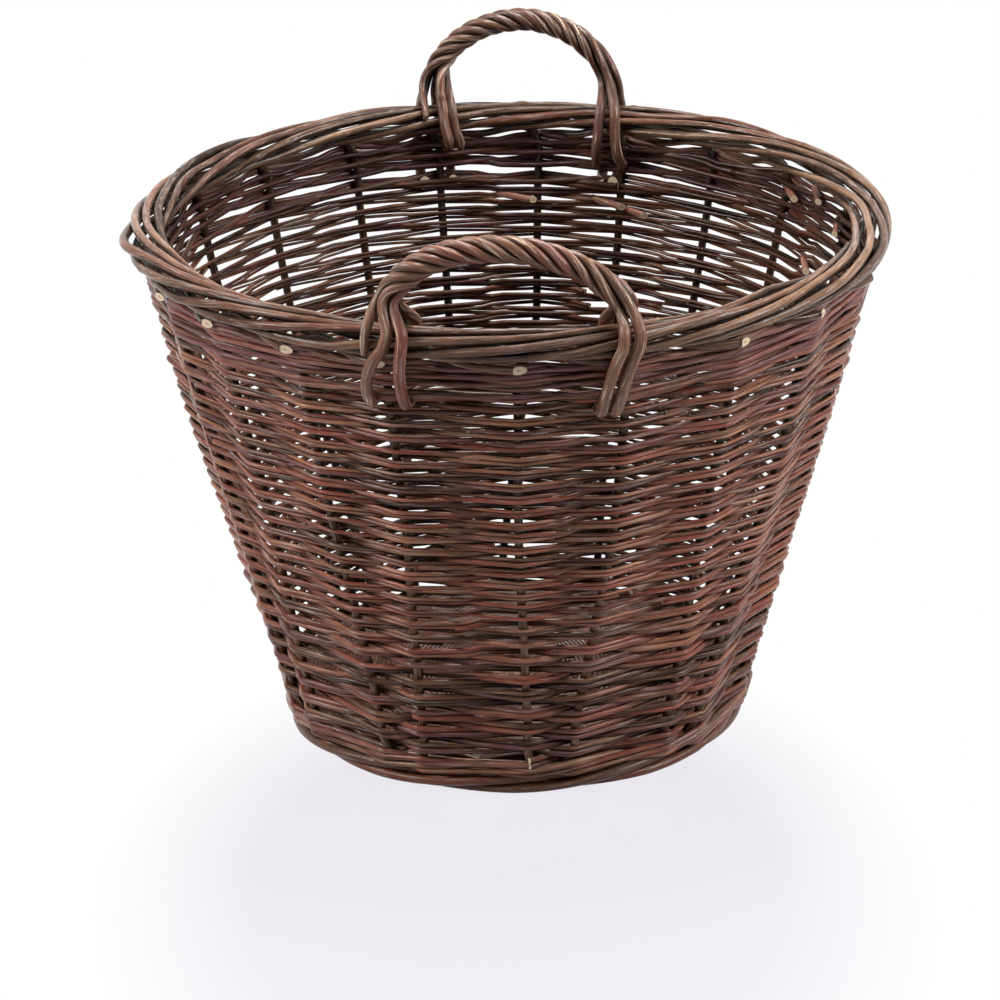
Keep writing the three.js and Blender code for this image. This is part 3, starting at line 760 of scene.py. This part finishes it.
def wale(rods, start, rounds, low, pitch, radius, dip=0.0, lead_in=0.0, steps_from=0.88):
    """Strand i is inside the stakes where k + i divides by three.

    It comes out low at the first stake, rises to the second and drops again as it goes in:
    z = low + pitch * whole rounds + radius * stroke. Each round is level and steps up to the
    next in its last part, from the share steps_from of the round on. But the first one starts
    lower by lead_in, where the siding's last row ends. "dip" presses the last round down where
    the tails of the border come out."""
    last = start + rounds * stake_count
    for i in range(wale_strands):
        begin = start - i - rng.uniform(0, 6)
        while begin < last - 1:
            end = begin + rng.uniform(*wale_rod_stations)
            places = stations_between(max(begin, start), min(end, last))
            taper = mix(wale_butt, wale_tip, (places - begin) / (end - begin))
            r = radius * taper * rng.uniform(*wale_variety)
            begin = end - rng.uniform(*wale_overlap)
            phase = np.mod(places + i, wale_strands)
            stroke = np.interp(phase, range(wale_strands + 1), wale_stroke)
            turns = (places - start) / stake_count
            step = ease(steps_from, 1.0, np.mod(turns, 1))
            climb = np.minimum(np.floor(turns) + step, np.ceil(rounds) - 1)
            height = low + pitch * climb + radius * stroke + wander(places, 1.0, 0.3)
            height = height - lead_in * (1 - np.minimum(turns, 1))
            past_stake = np.mod(places, 1)
            pressed = ease(0.2, 0.5, past_stake) * (1 - ease(0.93, 1.0, past_stake))
            to_go = rounds - turns
            height = height - dip * pressed * (1 - ease(0.6, 2.0, to_go))
            waves = undulation(stake_azimuth(np.round(places).astype(int), height), height)
            swing = swing_between(places, lambda k: (k + i) % wale_strands != 0)
            away = swing * (stake_radius + seat + r) + tucked(places, -2.0, -1.2)
            path = woven_path(places, height + waves * ease(*settles_over, to_go), away)
            rods.add(path, r, UP, sides=wale_sides, rough=0.02, light=woven_light(swing, wale_sides),
                     tone=around(0.45, 0.25), hue=around(0.62, 0.3))


siding_end = int(siding_stations) % stake_count
top_wale = Rods()
wale(top_wale, siding_end, 4.0, 315.8, 7.35, 1.95, dip=2.2, lead_in=4.2)

# %% [markdown]
# Where the weaver laid in new rods, some stout butts stick out into the basket under the border,
# cut off at a slant.

# %% Butts that show inside
butt_places = [(29.6, 331.0), (21.5, 338.0), (11.8, 327.0), (20.9, 289.0),
               (68.6, 295.5), (85.5, 297.0), (64.0, 291.5)]    # azimuth and height of each cut
butt_bend = np.array([(6.5, 2.0, 1.5), (4.0, -3.0, 0.8), (1.8, -6.5, 0.2), (0.0, -9.5, 0.0)])
butt_radius = 2.4

for azimuth, height in butt_places:
    turn, out, up = butt_bend.T          # from the wall to the cut, in degrees and millimetres
    inner = wall_radius(height) - stake_radius
    path = smooth(polar(azimuth + turn, inner + out, height + up), 2.0)
    top_wale.add(path, butt_radius * rng.uniform(0.9, 1.1), UP, sides=10, rough=0.02, tone=0.7, hue=0.45,
                 slants=(0.0, 0.7), slant_way=-polar(azimuth, 1.0, 0.0))
print("top wale", top_wale.piece("top_wale_rods", "top_wale", "wale_bark", wale_bark), "triangles")

upsett = Rods()                          # its bark is as dark as the siding's
wale(upsett, 9, 2.0, 16.6, 5.0, 2.3, steps_from=0.95)
print("upsett", upsett.piece("upsett_wale_rods", "upsett_wale", "wale_bark", siding_bark), "triangles")

# %% [markdown]
# ## Stakes and border
# Each stake starts as a butt beside a spoke, bends up, stands in the wall, and at the rim is
# bent over and rolled with its neighbours: under the border, up its outside, over the top, down
# its inside, and out again under it seven stakes further on, where its tail is cut off. In the
# wall the bark is darkened with painted shade; on the border it keeps its own tan grey.

# %% The path of a stake
base_plane = 19.83
spoke_radius = 3.6
bend_radius = wall_radius(base_plane)
bend_shares = (0.7, 0.4, 0.12)           # outwards, sideways and up, on the way to the wall's foot
butt_length = 30.0
odd_foot = 17.0                          # where the odd stake stands on the rope of the foot
upright_top, bend_height = 333.0, 343.0
waver, waver_every = 0.6, 29.0           # how far and how often a stake leaves its line
border_end_radius, border_flat = 6.8, 4.4    # the round ends of the border's section, and half its flats
border_lap = 7                           # in stakes
border_radius = 3.05                     # of a stake that is bent over into the border
tail_height = 339.45


def racetrack(share):
    """Round the border's section by the share of its length, from the bottom, outside first."""
    bend = np.pi * border_end_radius
    flat = 2 * border_flat
    run = np.mod(share, 1) * 2 * (bend + flat)
    corners = np.cumsum([0, border_flat, bend, flat, bend, border_flat])
    part = np.clip(np.searchsorted(corners, run, side="right") - 1, 0, 4)
    into = run - corners[part]
    turn = into / border_end_radius
    out = np.choose(part, [into, border_flat + border_end_radius * np.sin(turn), border_flat - into,
                           -border_flat - border_end_radius * np.sin(turn), into - border_flat])
    up = np.choose(part, [-border_end_radius, -border_end_radius * np.cos(turn), border_end_radius,
                          border_end_radius * np.cos(turn), -border_end_radius])
    return out, up


def stake_upright(k):
    """Points of the butt and the upright, up to where it bends over under the border."""
    points = []
    if k == odd_stake:
        points.append(polar(foot_azimuth(k), wall_radius(odd_foot), odd_foot))
    else:
        spoke, side = spoke_beside(k)
        start = bend_radius - 2.5 * solid_stake_radius
        beside = spoke_radius + solid_stake_radius + clearance
        stand = wall_foot_radius * np.sin(np.radians(stake_spread))
        butt = [(start - back, beside, base_plane) for back in (butt_length, butt_length / 2, 0)]
        ends = ((start, bend_radius), (beside, stand), (base_plane, wall_foot_height))
        bend = [mix(low, high, share) for (low, high), share in zip(ends, bend_shares)]
        for radius, off, height in (*butt, bend):
            points.append(polar(spoke + side * np.degrees(np.arcsin(off / radius)), radius, height))
    for height in np.linspace(wall_foot_height, upright_top, 14):
        lean = waver * np.sin(height / waver_every + 2 * k)
        points.append(polar(stake_azimuth(k, height), wall_radius(height) + lean, height))
    low = border_height - border_end_radius
    points.append(polar(rim_between(k + 0.05), wall_radius(bend_height), mix(upright_top, low, 0.75)))
    points.append(polar(rim_between(k + 0.2), wall_top_radius + 0.5, low))
    return np.array(points)


# %% The border's strand
strand_step, kink_every = 0.25, 0.75     # in stakes
tail_from = border_lap - 0.6
kink_out, kink_up, looser = 1.0, 0.9, 0.07
left_loop_azimuth, left_loop_width, left_loop_reach = 190.0, 8.0, 5.0


def border_strand(k):
    """The strand on the racetrack, loose and wavy, then its tail.

    At the left the weaver let the outermost strands stand off the border in a loop."""
    laps = np.arange(0.5, tail_from, strand_step)
    out, up = racetrack(laps / border_lap)
    azimuth = rim_between(k + laps)
    settled = ease(0.4, 1.5, laps) * (1 - ease(border_lap - 1.5, tail_from, laps))
    loose = 1 + looser * settled * np.sin(2 * np.pi * laps / border_lap + rng.uniform(0, 6))
    out, up = out * loose, up * loose
    out = out + settled * wander(laps, kink_every, kink_out)
    up = up + settled * wander(laps, kink_every, kink_up)
    outermost = ease(5.0, 10.0, out) * rng.choice([0.2, 1.0])
    turned = np.mod(azimuth, 360) - left_loop_azimuth
    out = out + left_loop_reach * outermost * bump_at(0.0, left_loop_width, turned)
    strand = polar(azimuth, wall_top_radius + out, border_height + up)
    cut, lower = rng.uniform(-0.1, 0.04), rng.uniform(0, 1.5)
    tail = [polar(rim_between(k + border_lap + on), wall_top_radius + out, tail_height + up)
            for on, out, up in ((-0.45, -1.5, 1.5), (-0.25, 3.5, 0.0), (cut, 7.5, -lower))]
    return np.concatenate([strand, tail])


def out_of_border(path):
    """The way out of the border: from the flat strip in its middle to each point of the strand."""
    out = np.linalg.norm(path * LEVEL, axis=1) - wall_top_radius
    past = out - np.clip(out, -border_flat, border_flat)
    return unit(past[:, None] * unit(path * LEVEL) + (path[:, 2:] - border_height) * UP)


# %% Lay the stakes
border_sides = 12
stake_foot_radius = 3.1
border_taper = (1.06, 0.92)
# painted shade: the share of light left on a stake's bark in the wall
painted_shade_in_wall = 0.12
outside_lit_below, outside_painted_light = 270.0, 0.8  # lower down, painted light on the side of the stakes that faces out lifts their painted shade

for k in range(stake_count):
    rods = Rods()
    path = smooth(np.concatenate([stake_upright(k), border_strand(k)]), 3.2)
    height = path[:, 2]
    on_border = ease(334.0, 344.0, height)
    in_wall = mix(stake_foot_radius, stake_radius, ease(20, 60, height))
    along = lengths_along(path)
    stout = border_radius * rng.uniform(0.93, 1.08) * mix(*border_taper, ease(350, 900, along))
    azimuth = np.degrees(np.arctan2(path[:, 1], path[:, 0]))
    normal = out_of_border(path)
    side = mix(polar(azimuth + 90, 1.0, 0.0), normal, ease(330.0, 346.0, height)[:, None])
    bent_over = np.argmax(on_border > 0.99)
    side[bent_over:] = normal[bent_over:]
    bark_light = np.maximum(mix(painted_shade_in_wall, 1.0, ease(338.0, 345.0, height)), ease(450, 480, along))
    light = bark_light[:, None] * mix(1.0, light_in_rope(border_sides), on_border[:, None])
    # painted light on the face of a stake that looks out of the basket, lower down
    faces_out = ease(-0.3, 0.6, -np.sin(angles_round(border_sides)))
    light = light + np.outer(outside_painted_light * (1 - ease(outside_lit_below / 3, outside_lit_below, height)), faces_out)
    rods.add(path, mix(in_wall, stout, on_border), side, border_sides, rough=0.016, light=light,
             buds=random_buds(along[-1], border_radius, 58.0),
             tone=around(0.42, 0.3, 0.05), hue=rng.uniform(0.15, 0.85),
             slants=(0.0, rng.uniform(1.1, 1.9)), slant_way=polar(azimuth[-1], 1.0, 0.0))
    name = f"stake_{k + 1:02d}"
    faces = rods.piece(f"{name}_rod", name, "stake_bark", stake_bark)
print("a stake with its strand:", faces, "triangles")

# %% [markdown]
# ## The handles
# Each handle is a rope of five rods. Round an arch, every rod runs on a helix; at the feet the
# rods part, two go down inside the wall and two outside it, where they are pushed in under the
# wale, and the fifth is cut off on the border. The rods are crushed a little as they are
# twisted, so their section is an oval, and their bark cracks along the grain.
#
# The two arches are not alike. The front one leans its crown to the left, and the back one is
# narrower and stands higher. Legs are placed in shares of a rod's radius along the border, from
# where the middle of the rope stands: where they pass the border, and where they enter the wall.
# A cut leg has instead the angle round the border at which it is cut. A fourth value is the share
# of the arch at which a leg leaves the rope early. Right and left are as seen from outside the
# basket, and "loosens" is the angle of the arch where the rope ends, and the share of the arch
# over which its twist dies away.

# %% The handles' sizes
handle_rods = 5
handle_steps = 12             # turns of the twist, in fifths
handle_start = 0.75           # how far the first rod is turned, in fifths
rope_rod_radius, leg_rod_radius = 3.35, 4.1
handle_lay_radius = 5.8
leg_unit = 3.0                # the unit of the legs' shares
handle_lean = 7.0             # degrees outwards
handle_tip = 1.5              # how far the end of an outside leg goes past the wall's middle
pass_angles = (30.0, 0.0)     # degrees round the border at which a leg passes it
border_top = border_height + border_end_radius + solid_stake_radius
wall_low, wall_high, wall_rows = 13.48, 335.9, 24      # of the solids, where the outside legs end
row_thickness = 4.4           # of the rows that an outside leg passes
tuck_depth = 5.5              # how far the end of an inside leg turns back towards the wall

front_handle = {
    "azimuth": -90.0, "half_span": 78.0, "rise": 52.5, "skew": 12.0, "thickness": 1.0,
    "tones": (0.2, 0.75), "hues": (0.1, 0.7),
    "right": {"rows": 2.375, "hang": 28.0, "loosens": (18.0, 0.25), "legs": [
        ("outside", 0.2, -3.3), ("outside", -3.2, -6.5), ("inside", -4.4, -3.9), ("inside", -1.0, 0.3),
        ("inside cut", 2.6, 30.0)]},
    "left": {"rows": 1.93, "hang": 28.0, "loosens": (24.0, 0.12), "legs": [
        ("outside", -0.8, 4.6), ("outside", -4.2, -3.2), ("inside", -4.4, -3.9), ("inside", -1.0, 0.0),
        ("outside cut", 3.6, -20.0)]},
}
back_handle = {
    "azimuth": 87.8, "half_span": 67.5, "rise": 63.0, "skew": 0.0, "thickness": 0.9,
    "tones": (0.1, 0.5), "hues": (0.4, 0.95),
    "right": {"rows": 2.0, "hang": 16.0, "loosens": (18.0, 0.12), "legs": [
        ("outside", 0.6, 2.0), ("outside", -2.9, -5.3),
        ("inside", -5.0, -6.9, 0.1), ("inside", -2.6, -4.4, 0.1), ("inside cut", 2.0, 25.0)]},
    "left": {"rows": 2.0, "hang": 29.0, "loosens": (24.0, 0.3), "legs": [
        ("outside", -0.6, 0.8), ("outside", -3.4, -2.9), ("inside", -2.0, -2.9), ("inside", 2.2, 4.0),
        ("outside cut", 0.8, 10.0)]},
}


# %% The path of a handle's rod
def twisted_share(shares, right_dies, left_dies):
    """The share of the twist that is done: it grows evenly, but slowly where it dies away at the ends."""
    t = np.linspace(0, 1, 400)
    turned = np.cumsum(ease(-0.3 * right_dies, right_dies, t) * ease(-0.3 * left_dies, left_dies, 1 - t))
    return np.interp(shares, t, (turned - turned[0]) / (turned[-1] - turned[0]))


def handle_arch(handle, i, shares):
    """axis(t) + lay radius * (cos p across + sin p outward), where p turns with the share.

    A row holds the point, the way out of the rope, and 1 for "twisted"."""
    out = polar(handle["azimuth"], 1.0, 0.0)
    along = np.cross(UP, out)
    rise, skew, half_span = handle["rise"], handle["skew"], handle["half_span"]
    lean = np.tan(np.radians(handle_lean))
    (right_end, right_dies), (left_end, left_dies) = handle["right"]["loosens"], handle["left"]["loosens"]
    start, end = np.radians([right_end, 180 - left_end])
    turn = mix(start, end, shares)[:, None]
    depth = np.sqrt(wall_top_radius ** 2 - half_span ** 2)
    up = rise * np.sin(turn)
    level = along * (half_span * np.cos(turn) - skew * np.sin(turn))
    axis = level + out * (depth + lean * up) + UP * (border_top + up)
    climb = rise * np.cos(turn)
    ahead = unit(-along * (half_span * np.sin(turn) + skew * np.cos(turn)) + (out * lean + UP) * climb)
    outward = unit(out - lean * UP)
    across = -np.cross(np.broadcast_to(outward, ahead.shape), ahead)
    twist = handle_steps * twisted_share(shares, right_dies, left_dies)
    phase = np.radians(360 / handle_rods * (i + handle_start - twist))[:, None]
    spoke = across * np.cos(phase) + outward * np.sin(phase)
    twisted = np.ones((len(shares), 1))
    return np.concatenate([axis + handle_lay_radius * handle["thickness"] * spoke, spoke, twisted], axis=1)


def handle_leg(handle, foot, landing, way):
    """A leg's points and sides, from the rope's end down: over the border, then in or on down."""
    kind, passes, enters = handle[foot]["legs"][landing][:3]
    face = -1 if kind.startswith("inside") else 1
    past = border_end_radius + solid_stake_radius + clearance + leg_unit
    corner = past / np.cos(np.radians(15))       # so that straight pieces of 30 degrees clear the border
    azimuth = handle["azimuth"]
    out = polar(azimuth, 1.0, 0.0)

    def place(share, offset, height, side):
        reach = way * np.degrees((handle["half_span"] + share * leg_unit) / wall_top_radius)
        return np.concatenate([polar(azimuth + reach, wall_top_radius + offset, height), side, [0.0]])

    cut = kind.endswith("cut")
    rows = []
    for a in np.radians(np.arange(pass_angles[0], enters - 1, -25) if cut else pass_angles):
        share = passes if cut or a > 0 else mix(passes, enters, 0.12)
        offset = face * (border_flat + corner * np.cos(a))
        rows.append(place(share, offset, border_height + corner * np.sin(a), face * out))
    if cut:
        return rows
    if kind == "inside":
        hang = handle[foot]["hang"]
        inwards = border_flat + corner + 0.2 * wall_slope * hang
        rows.append(place(mix(passes, enters, 0.7), -inwards, border_height - 0.72 * hang, -out))
        rows.append(place(enters, tuck_depth - inwards, border_height - hang, mix(-out, -UP, 0.5)))
        return rows
    entry = wall_high - (wall_high - wall_low) / wall_rows * handle[foot]["rows"]
    wall = wall_radius(entry) - wall_top_radius
    skin = solid_stake_radius + 2 * clearance + row_thickness
    bend = leg_unit + clearance
    rows.append(place(mix(passes, enters, 0.4), border_flat + corner - clearance,
                      border_height - 2 * solid_stake_radius, out))
    rows.append(place(enters, wall + skin + bend, entry + 1.4 * bend, mix(out, -UP, 0.3)))
    rows.append(place(enters, wall + skin, entry + 0.2 * bend, mix(out, -UP, 0.6)))
    rows.append(place(enters, wall - handle_tip, entry, -UP))
    return rows


# %% Twist the handles
handle_sides = 14
handle_flat = 0.94
cut_leg = 0.6                 # a cut leg is slimmer over its last 25 mm

for name, handle in (("handle_front", front_handle), ("handle_back", back_handle)):
    for i in range(handle_rods):
        landing = (i - handle_steps) % handle_rods
        right = handle_leg(handle, "right", i, 1)[::-1]
        left = handle_leg(handle, "left", landing, -1)
        early = [sum(handle[foot]["legs"][leg][3:]) for foot, leg in (("right", i), ("left", landing))]
        arch = handle_arch(handle, i, np.linspace(early[0], 1 - early[1], handle_steps * 4 + 1))
        both = smooth(np.concatenate([right, arch, left]), 1.5)
        path, side, twisted = both[:, :3], both[:, 3:6], np.clip(both[:, 6], 0, 1)
        along = lengths_along(path)
        radius = mix(leg_rod_radius, rope_rod_radius, twisted) * handle["thickness"] ** 0.7
        kinds = handle["right"]["legs"][i][0], handle["left"]["legs"][landing][0]
        for kind, from_end in zip(kinds, (along, along[-1] - along)):
            if kind.endswith("cut"):
                radius = radius * mix(cut_leg, 1.0, ease(0, 25, from_end))
        rods = Rods()
        light = mix(1.0, light_in_rope(handle_sides), twisted[:, None])
        rods.add(path, radius * rng.uniform(0.96, 1.06), side, handle_sides, handle_flat,
                 tone=rng.uniform(*handle["tones"]), hue=rng.uniform(*handle["hues"]), light=light,
                 buds=random_buds(along[-1], 3.0, 60.0), slants=(0.3, 0.3), rough=0.022)
        node_name = f"{name}_{i + 1:02d}"
        faces = rods.piece(f"{node_name}_rod", node_name, "handle_bark", handle_bark)
print("a handle's rod:", faces, "triangles")

# %% [markdown]
# ## The base
# Three sticks are slit and two are pushed through them; the ten arms are fanned apart by pairs
# of thin rods, one of which goes over a spoke where the other goes under it. From above and
# from below it looks like a spiral of twisted pairs.

# %% Base sticks
fan_radius = 24.0             # where the arms begin to fan
spoke_reach = bend_radius - solid_stake_radius - clearance
stick_turn = first_spoke + 180 - 90
stick_pitch = 2 * spoke_radius + clearance
fan_spread = 360 / spoke_count
stick_sides = 12
middle_width = 9.0


def spread_stick(rods, ends, near, far, swell):
    """A stick from the far end of one spoke to that of the opposite one, past the middle.

    There a slit stick is swollen, and one that is pushed through is thinned."""
    a, b = ends
    points = [polar(a, spoke_reach, base_plane), polar(a, fan_radius, base_plane), near, far,
              polar(b, fan_radius, base_plane), polar(b, spoke_reach, base_plane)]
    path = smooth(points, 3.0)
    from_middle = np.linalg.norm(path[:, :2], axis=1)
    radius = spoke_radius * (1 + swell * bump_at(0.0, middle_width, from_middle))
    rods.add(path, radius, UP, stick_sides, rough=0.012, tone=rng.uniform(0.3, 0.7), hue=0.4,
             buds=random_buds(2 * spoke_reach, spoke_radius))


def beside_middle(turn, off, ahead):
    """The two places beside the middle: "off" sideways of a stick's axis and "ahead" either way."""
    return [polar(turn, off, base_plane) + polar(turn + 90, way * ahead, 0.0) for way in (-1, 1)]


for place in (-1, 0, 1):
    rods = Rods()
    ends = (stick_turn - 90 + fan_spread * place, stick_turn + 90 - fan_spread * place)
    spread_stick(rods, ends, *beside_middle(stick_turn, place * stick_pitch, 9.0), 0.16)
    name = f"pierced_stick_{place + 2}"
    faces = rods.piece(f"{name}_rod", name, "stick_bark", stick_bark)
for side in (-1, 1):
    rods = Rods()
    ends = (stick_turn + 180 - fan_spread / 2 * side, stick_turn + fan_spread / 2 * side)
    near, far = beside_middle(stick_turn + 90, side * 2.6, 12.0)
    spread_stick(rods, ends, far, near, -0.45)
    name = f"passed_stick_{1 if side < 0 else 2}"
    rods.piece(f"{name}_rod", name, "stick_bark", stick_bark)
print("a pierced stick:", faces, "triangles")

# %% Base weavers
base_rod_radius = 1.55
base_start = 19.5             # from the middle
butts_from, butts_wide = (112, 117), 6.6      # further out, the stakes' butts lie beside the spokes
base_rim = bend_radius - 2 * solid_stake_radius - base_rod_radius
base_pitch = 2 * base_rod_radius + 0.1
base_lengths, base_sides = 15, 8


def base_pair(parity):
    """Spiral r = start + pitch * turns, z = plane +- (spoke + rod), held flat over each spoke.

    Where one rod of the pair (parity 0) goes over a spoke, the other (parity 1) goes under it."""
    turns = (base_rim - base_start) / base_pitch
    places = stations_between(0, turns * spoke_count)
    ring = base_start + base_pitch * places / spoke_count
    whole = stake_before(places)
    covered = mix(spoke_radius, spoke_radius + butts_wide, ease(*butts_from, ring))
    cover = covered / ring * spoke_count / (2 * np.pi)
    t = np.clip((places - whole - cover) / (1 - 2 * cover), 0, 1)
    swing = np.where((whole + parity) % 2 == 0, 1.0, -1.0) * np.cos(np.pi * t)
    height = base_plane + swing * (spoke_radius + base_rod_radius)
    return polar(first_spoke + fan_spread * places, ring, height)


for parity in (0, 1):
    rods = Rods()
    whole = base_pair(parity)
    cuts = np.linspace(0, len(whole) - 1, base_lengths + 1).astype(int)
    for a, b in zip(cuts[:-1], cuts[1:]):
        rods.add(whole[a:b + 1], base_rod_radius, UP, base_sides, tone=rng.uniform(0.15, 0.75),
                 hue=rng.uniform(0, 1), light=light_round(base_sides, 0.0, 0.7, 1)[None])
    name = f"base_weaver_{parity + 1}"
    print(name, rods.piece(f"{name}_rods", name, "base_bark", base_bark), "triangles")

# %% [markdown]
# ## The foot
# The basket stands on a rope of long shiny rods laid under the edge of the base. Three of them
# cross any place, each making one slow turn round the others, and they are worn flat where
# they touch the ground.

# %% Foot rods
foot_rod_radius, foot_lay_radius, foot_middle = 3.2, 4.045, 6.32
foot_ring = bend_radius - 1.4 * solid_stake_radius
foot_lap = 3                  # in spokes
foot_rod_length = 290.0

for i in range(spoke_count):
    share = np.linspace(0, 1, 73)
    phase = np.pi / 2 + 2 * np.pi * share
    azimuth = first_spoke + fan_spread * (i + foot_lap * share)
    path = polar(azimuth, foot_ring + foot_lay_radius * np.cos(phase),
                 foot_middle + foot_lay_radius * np.sin(phase))
    rods = Rods()
    rods.add(path, foot_rod_radius * rng.uniform(0.95, 1.05), UP, sides=12, rough=0.014,
             tone=rng.uniform(0.2, 0.8), hue=rng.uniform(0, 0.8),
             buds=random_buds(foot_rod_length, 3.0))
    rods.points = [np.maximum(p, [-np.inf, -np.inf, 0.0]) for p in rods.points]
    name = f"foot_rod_{i + 1:02d}"
    faces = rods.piece(f"{name}_rod", name, "foot_bark", foot_bark)
print("a foot rod:", faces, "triangles")

# %% [markdown]
# ## Floor and light
# The photograph was taken on a white table in soft light. A wide lamp over the basket gives the
# long soft glints on the rods, and one at either side lights the flanks, while the front stays
# darker. The floor is part lit table, which takes the basket's shadow, and part a painted
# violet-grey shadow round the basket, which fades into the white background away from it.

# %% White background
def white_rays(tree):
    """1 for what the camera sees straight, in a mirror or through glass, and 0 for other light."""
    path = node(tree, "ShaderNodeLightPath").outputs
    seen = maths(tree, "MAXIMUM", path["Is Camera Ray"], path["Is Glossy Ray"])
    return maths(tree, "MAXIMUM", seen, path["Is Transmission Ray"])


# %% Floor
floor_half = 6.0              # in metres, as the two values below
# painted shadow: a violet-grey glow on the floor, centred in front of the basket, fading to white
painted_shadow_middle = (0.0, -0.31, 0.0)
painted_shadow_halves = (0.26, 0.40, 1.0)
fade_from, fade_to = 0.66, 1.05          # in shares of those halves
# the share of the painted shadow near the foot; the rest is lit table
painted_share_near_foot = 0.9
table_colour = (0.50, 0.485, 0.53, 1)
painted_shadow_colour = (0.880, 0.863, 0.915, 1)
pure_white = (1, 1, 1, 1)


def pale_floor():
    """A table with a faint violet tint, and a painted violet-grey shadow round the basket that fades
    into the background's white at the sides.

    The camera sees it partly as lit table, which takes the basket's shadow, and partly as the
    painted shadow."""
    mesh = bpy.data.meshes.new("floor")
    corners = [(x * floor_half, y * floor_half, 0.0) for x, y in ((-1, -1), (1, -1), (1, 1), (-1, 1))]
    mesh.from_pydata(corners, [], [(0, 1, 2, 3)])
    floor = placed("floor", mesh)
    material = bpy.data.materials.new("white_table")
    material.use_nodes = True
    tree = material.node_tree
    tree.nodes.clear()
    place = node(tree, "ShaderNodeTexCoord").outputs["Object"]
    away = node(tree, "ShaderNodeVectorMath", {0: place, 1: painted_shadow_middle}, operation="SUBTRACT").outputs[0]
    shares = node(tree, "ShaderNodeVectorMath", {0: away, 1: painted_shadow_halves}, operation="DIVIDE").outputs[0]
    out = node(tree, "ShaderNodeVectorMath", {0: shares}, operation="LENGTH").outputs["Value"]
    far = reach(tree, out, fade_from, fade_to)
    table = node(tree, "ShaderNodeBsdfDiffuse", {"Color": table_colour}).outputs[0]
    # the painted shadow's colour near the basket, white further away
    painted_shadow_tint = blend_colours(tree, painted_shadow_colour, pure_white, far)
    white = node(tree, "ShaderNodeEmission", {"Color": painted_shadow_tint, "Strength": 1.0}).outputs[0]
    share = maths(tree, "MULTIPLY", reach(tree, far, 0.0, 1.0, painted_share_near_foot, 1.0), white_rays(tree))
    mixed = node(tree, "ShaderNodeMixShader", {0: share, 1: table, 2: white}).outputs[0]
    node(tree, "ShaderNodeOutputMaterial", {"Surface": mixed})
    mesh.materials.append(material)


pale_floor()


# %% Light
lamp_target = np.array([0.0, 0.0, 0.2])       # in metres
lamp_up = [0.0, 1.0, 0.05]


def lamp(name, place, size, watts, colour):
    """A square area lamp at a place in metres, turned towards the middle of the basket."""
    data = bpy.data.lights.new(name, "AREA")
    data.size, data.energy, data.color = size, watts, colour
    back = unit(place - lamp_target)
    right = unit(np.cross(lamp_up, back))
    placed(name, data).matrix_world = looking(np.array(place), right, np.cross(back, right), back)


lamp("top_lamp", (0.1, 0.3, 2.0), 0.8, 56.0, (1.0, 0.99, 0.98))
lamp("left_lamp", (-2.0, -0.5, 1.4), 0.8, 42.0, (1.0, 0.98, 0.97))
lamp("right_lamp", (2.0, -0.45, 1.4), 0.8, 44.0, (0.98, 0.98, 1.0))

fill_colour, fill_strength = (0.95, 0.96, 1.0, 1), 0.10


def white_world():
    """Soft fill, and pure white where the camera looks past the floor."""
    world = bpy.data.worlds.new("white_room")
    bpy.context.scene.world = world
    world.use_nodes = True
    tree = world.node_tree
    tree.nodes.clear()
    fill, white = (node(tree, "ShaderNodeBackground", {"Color": colour, "Strength": strength}).outputs[0]
                   for colour, strength in ((fill_colour, fill_strength), (pure_white, 1.0)))
    mixed = node(tree, "ShaderNodeMixShader", {0: white_rays(tree), 1: fill, 2: white}).outputs[0]
    node(tree, "ShaderNodeOutputWorld", {"Surface": mixed})


white_world()
bpy.context.scene.view_settings.view_transform = "Standard"
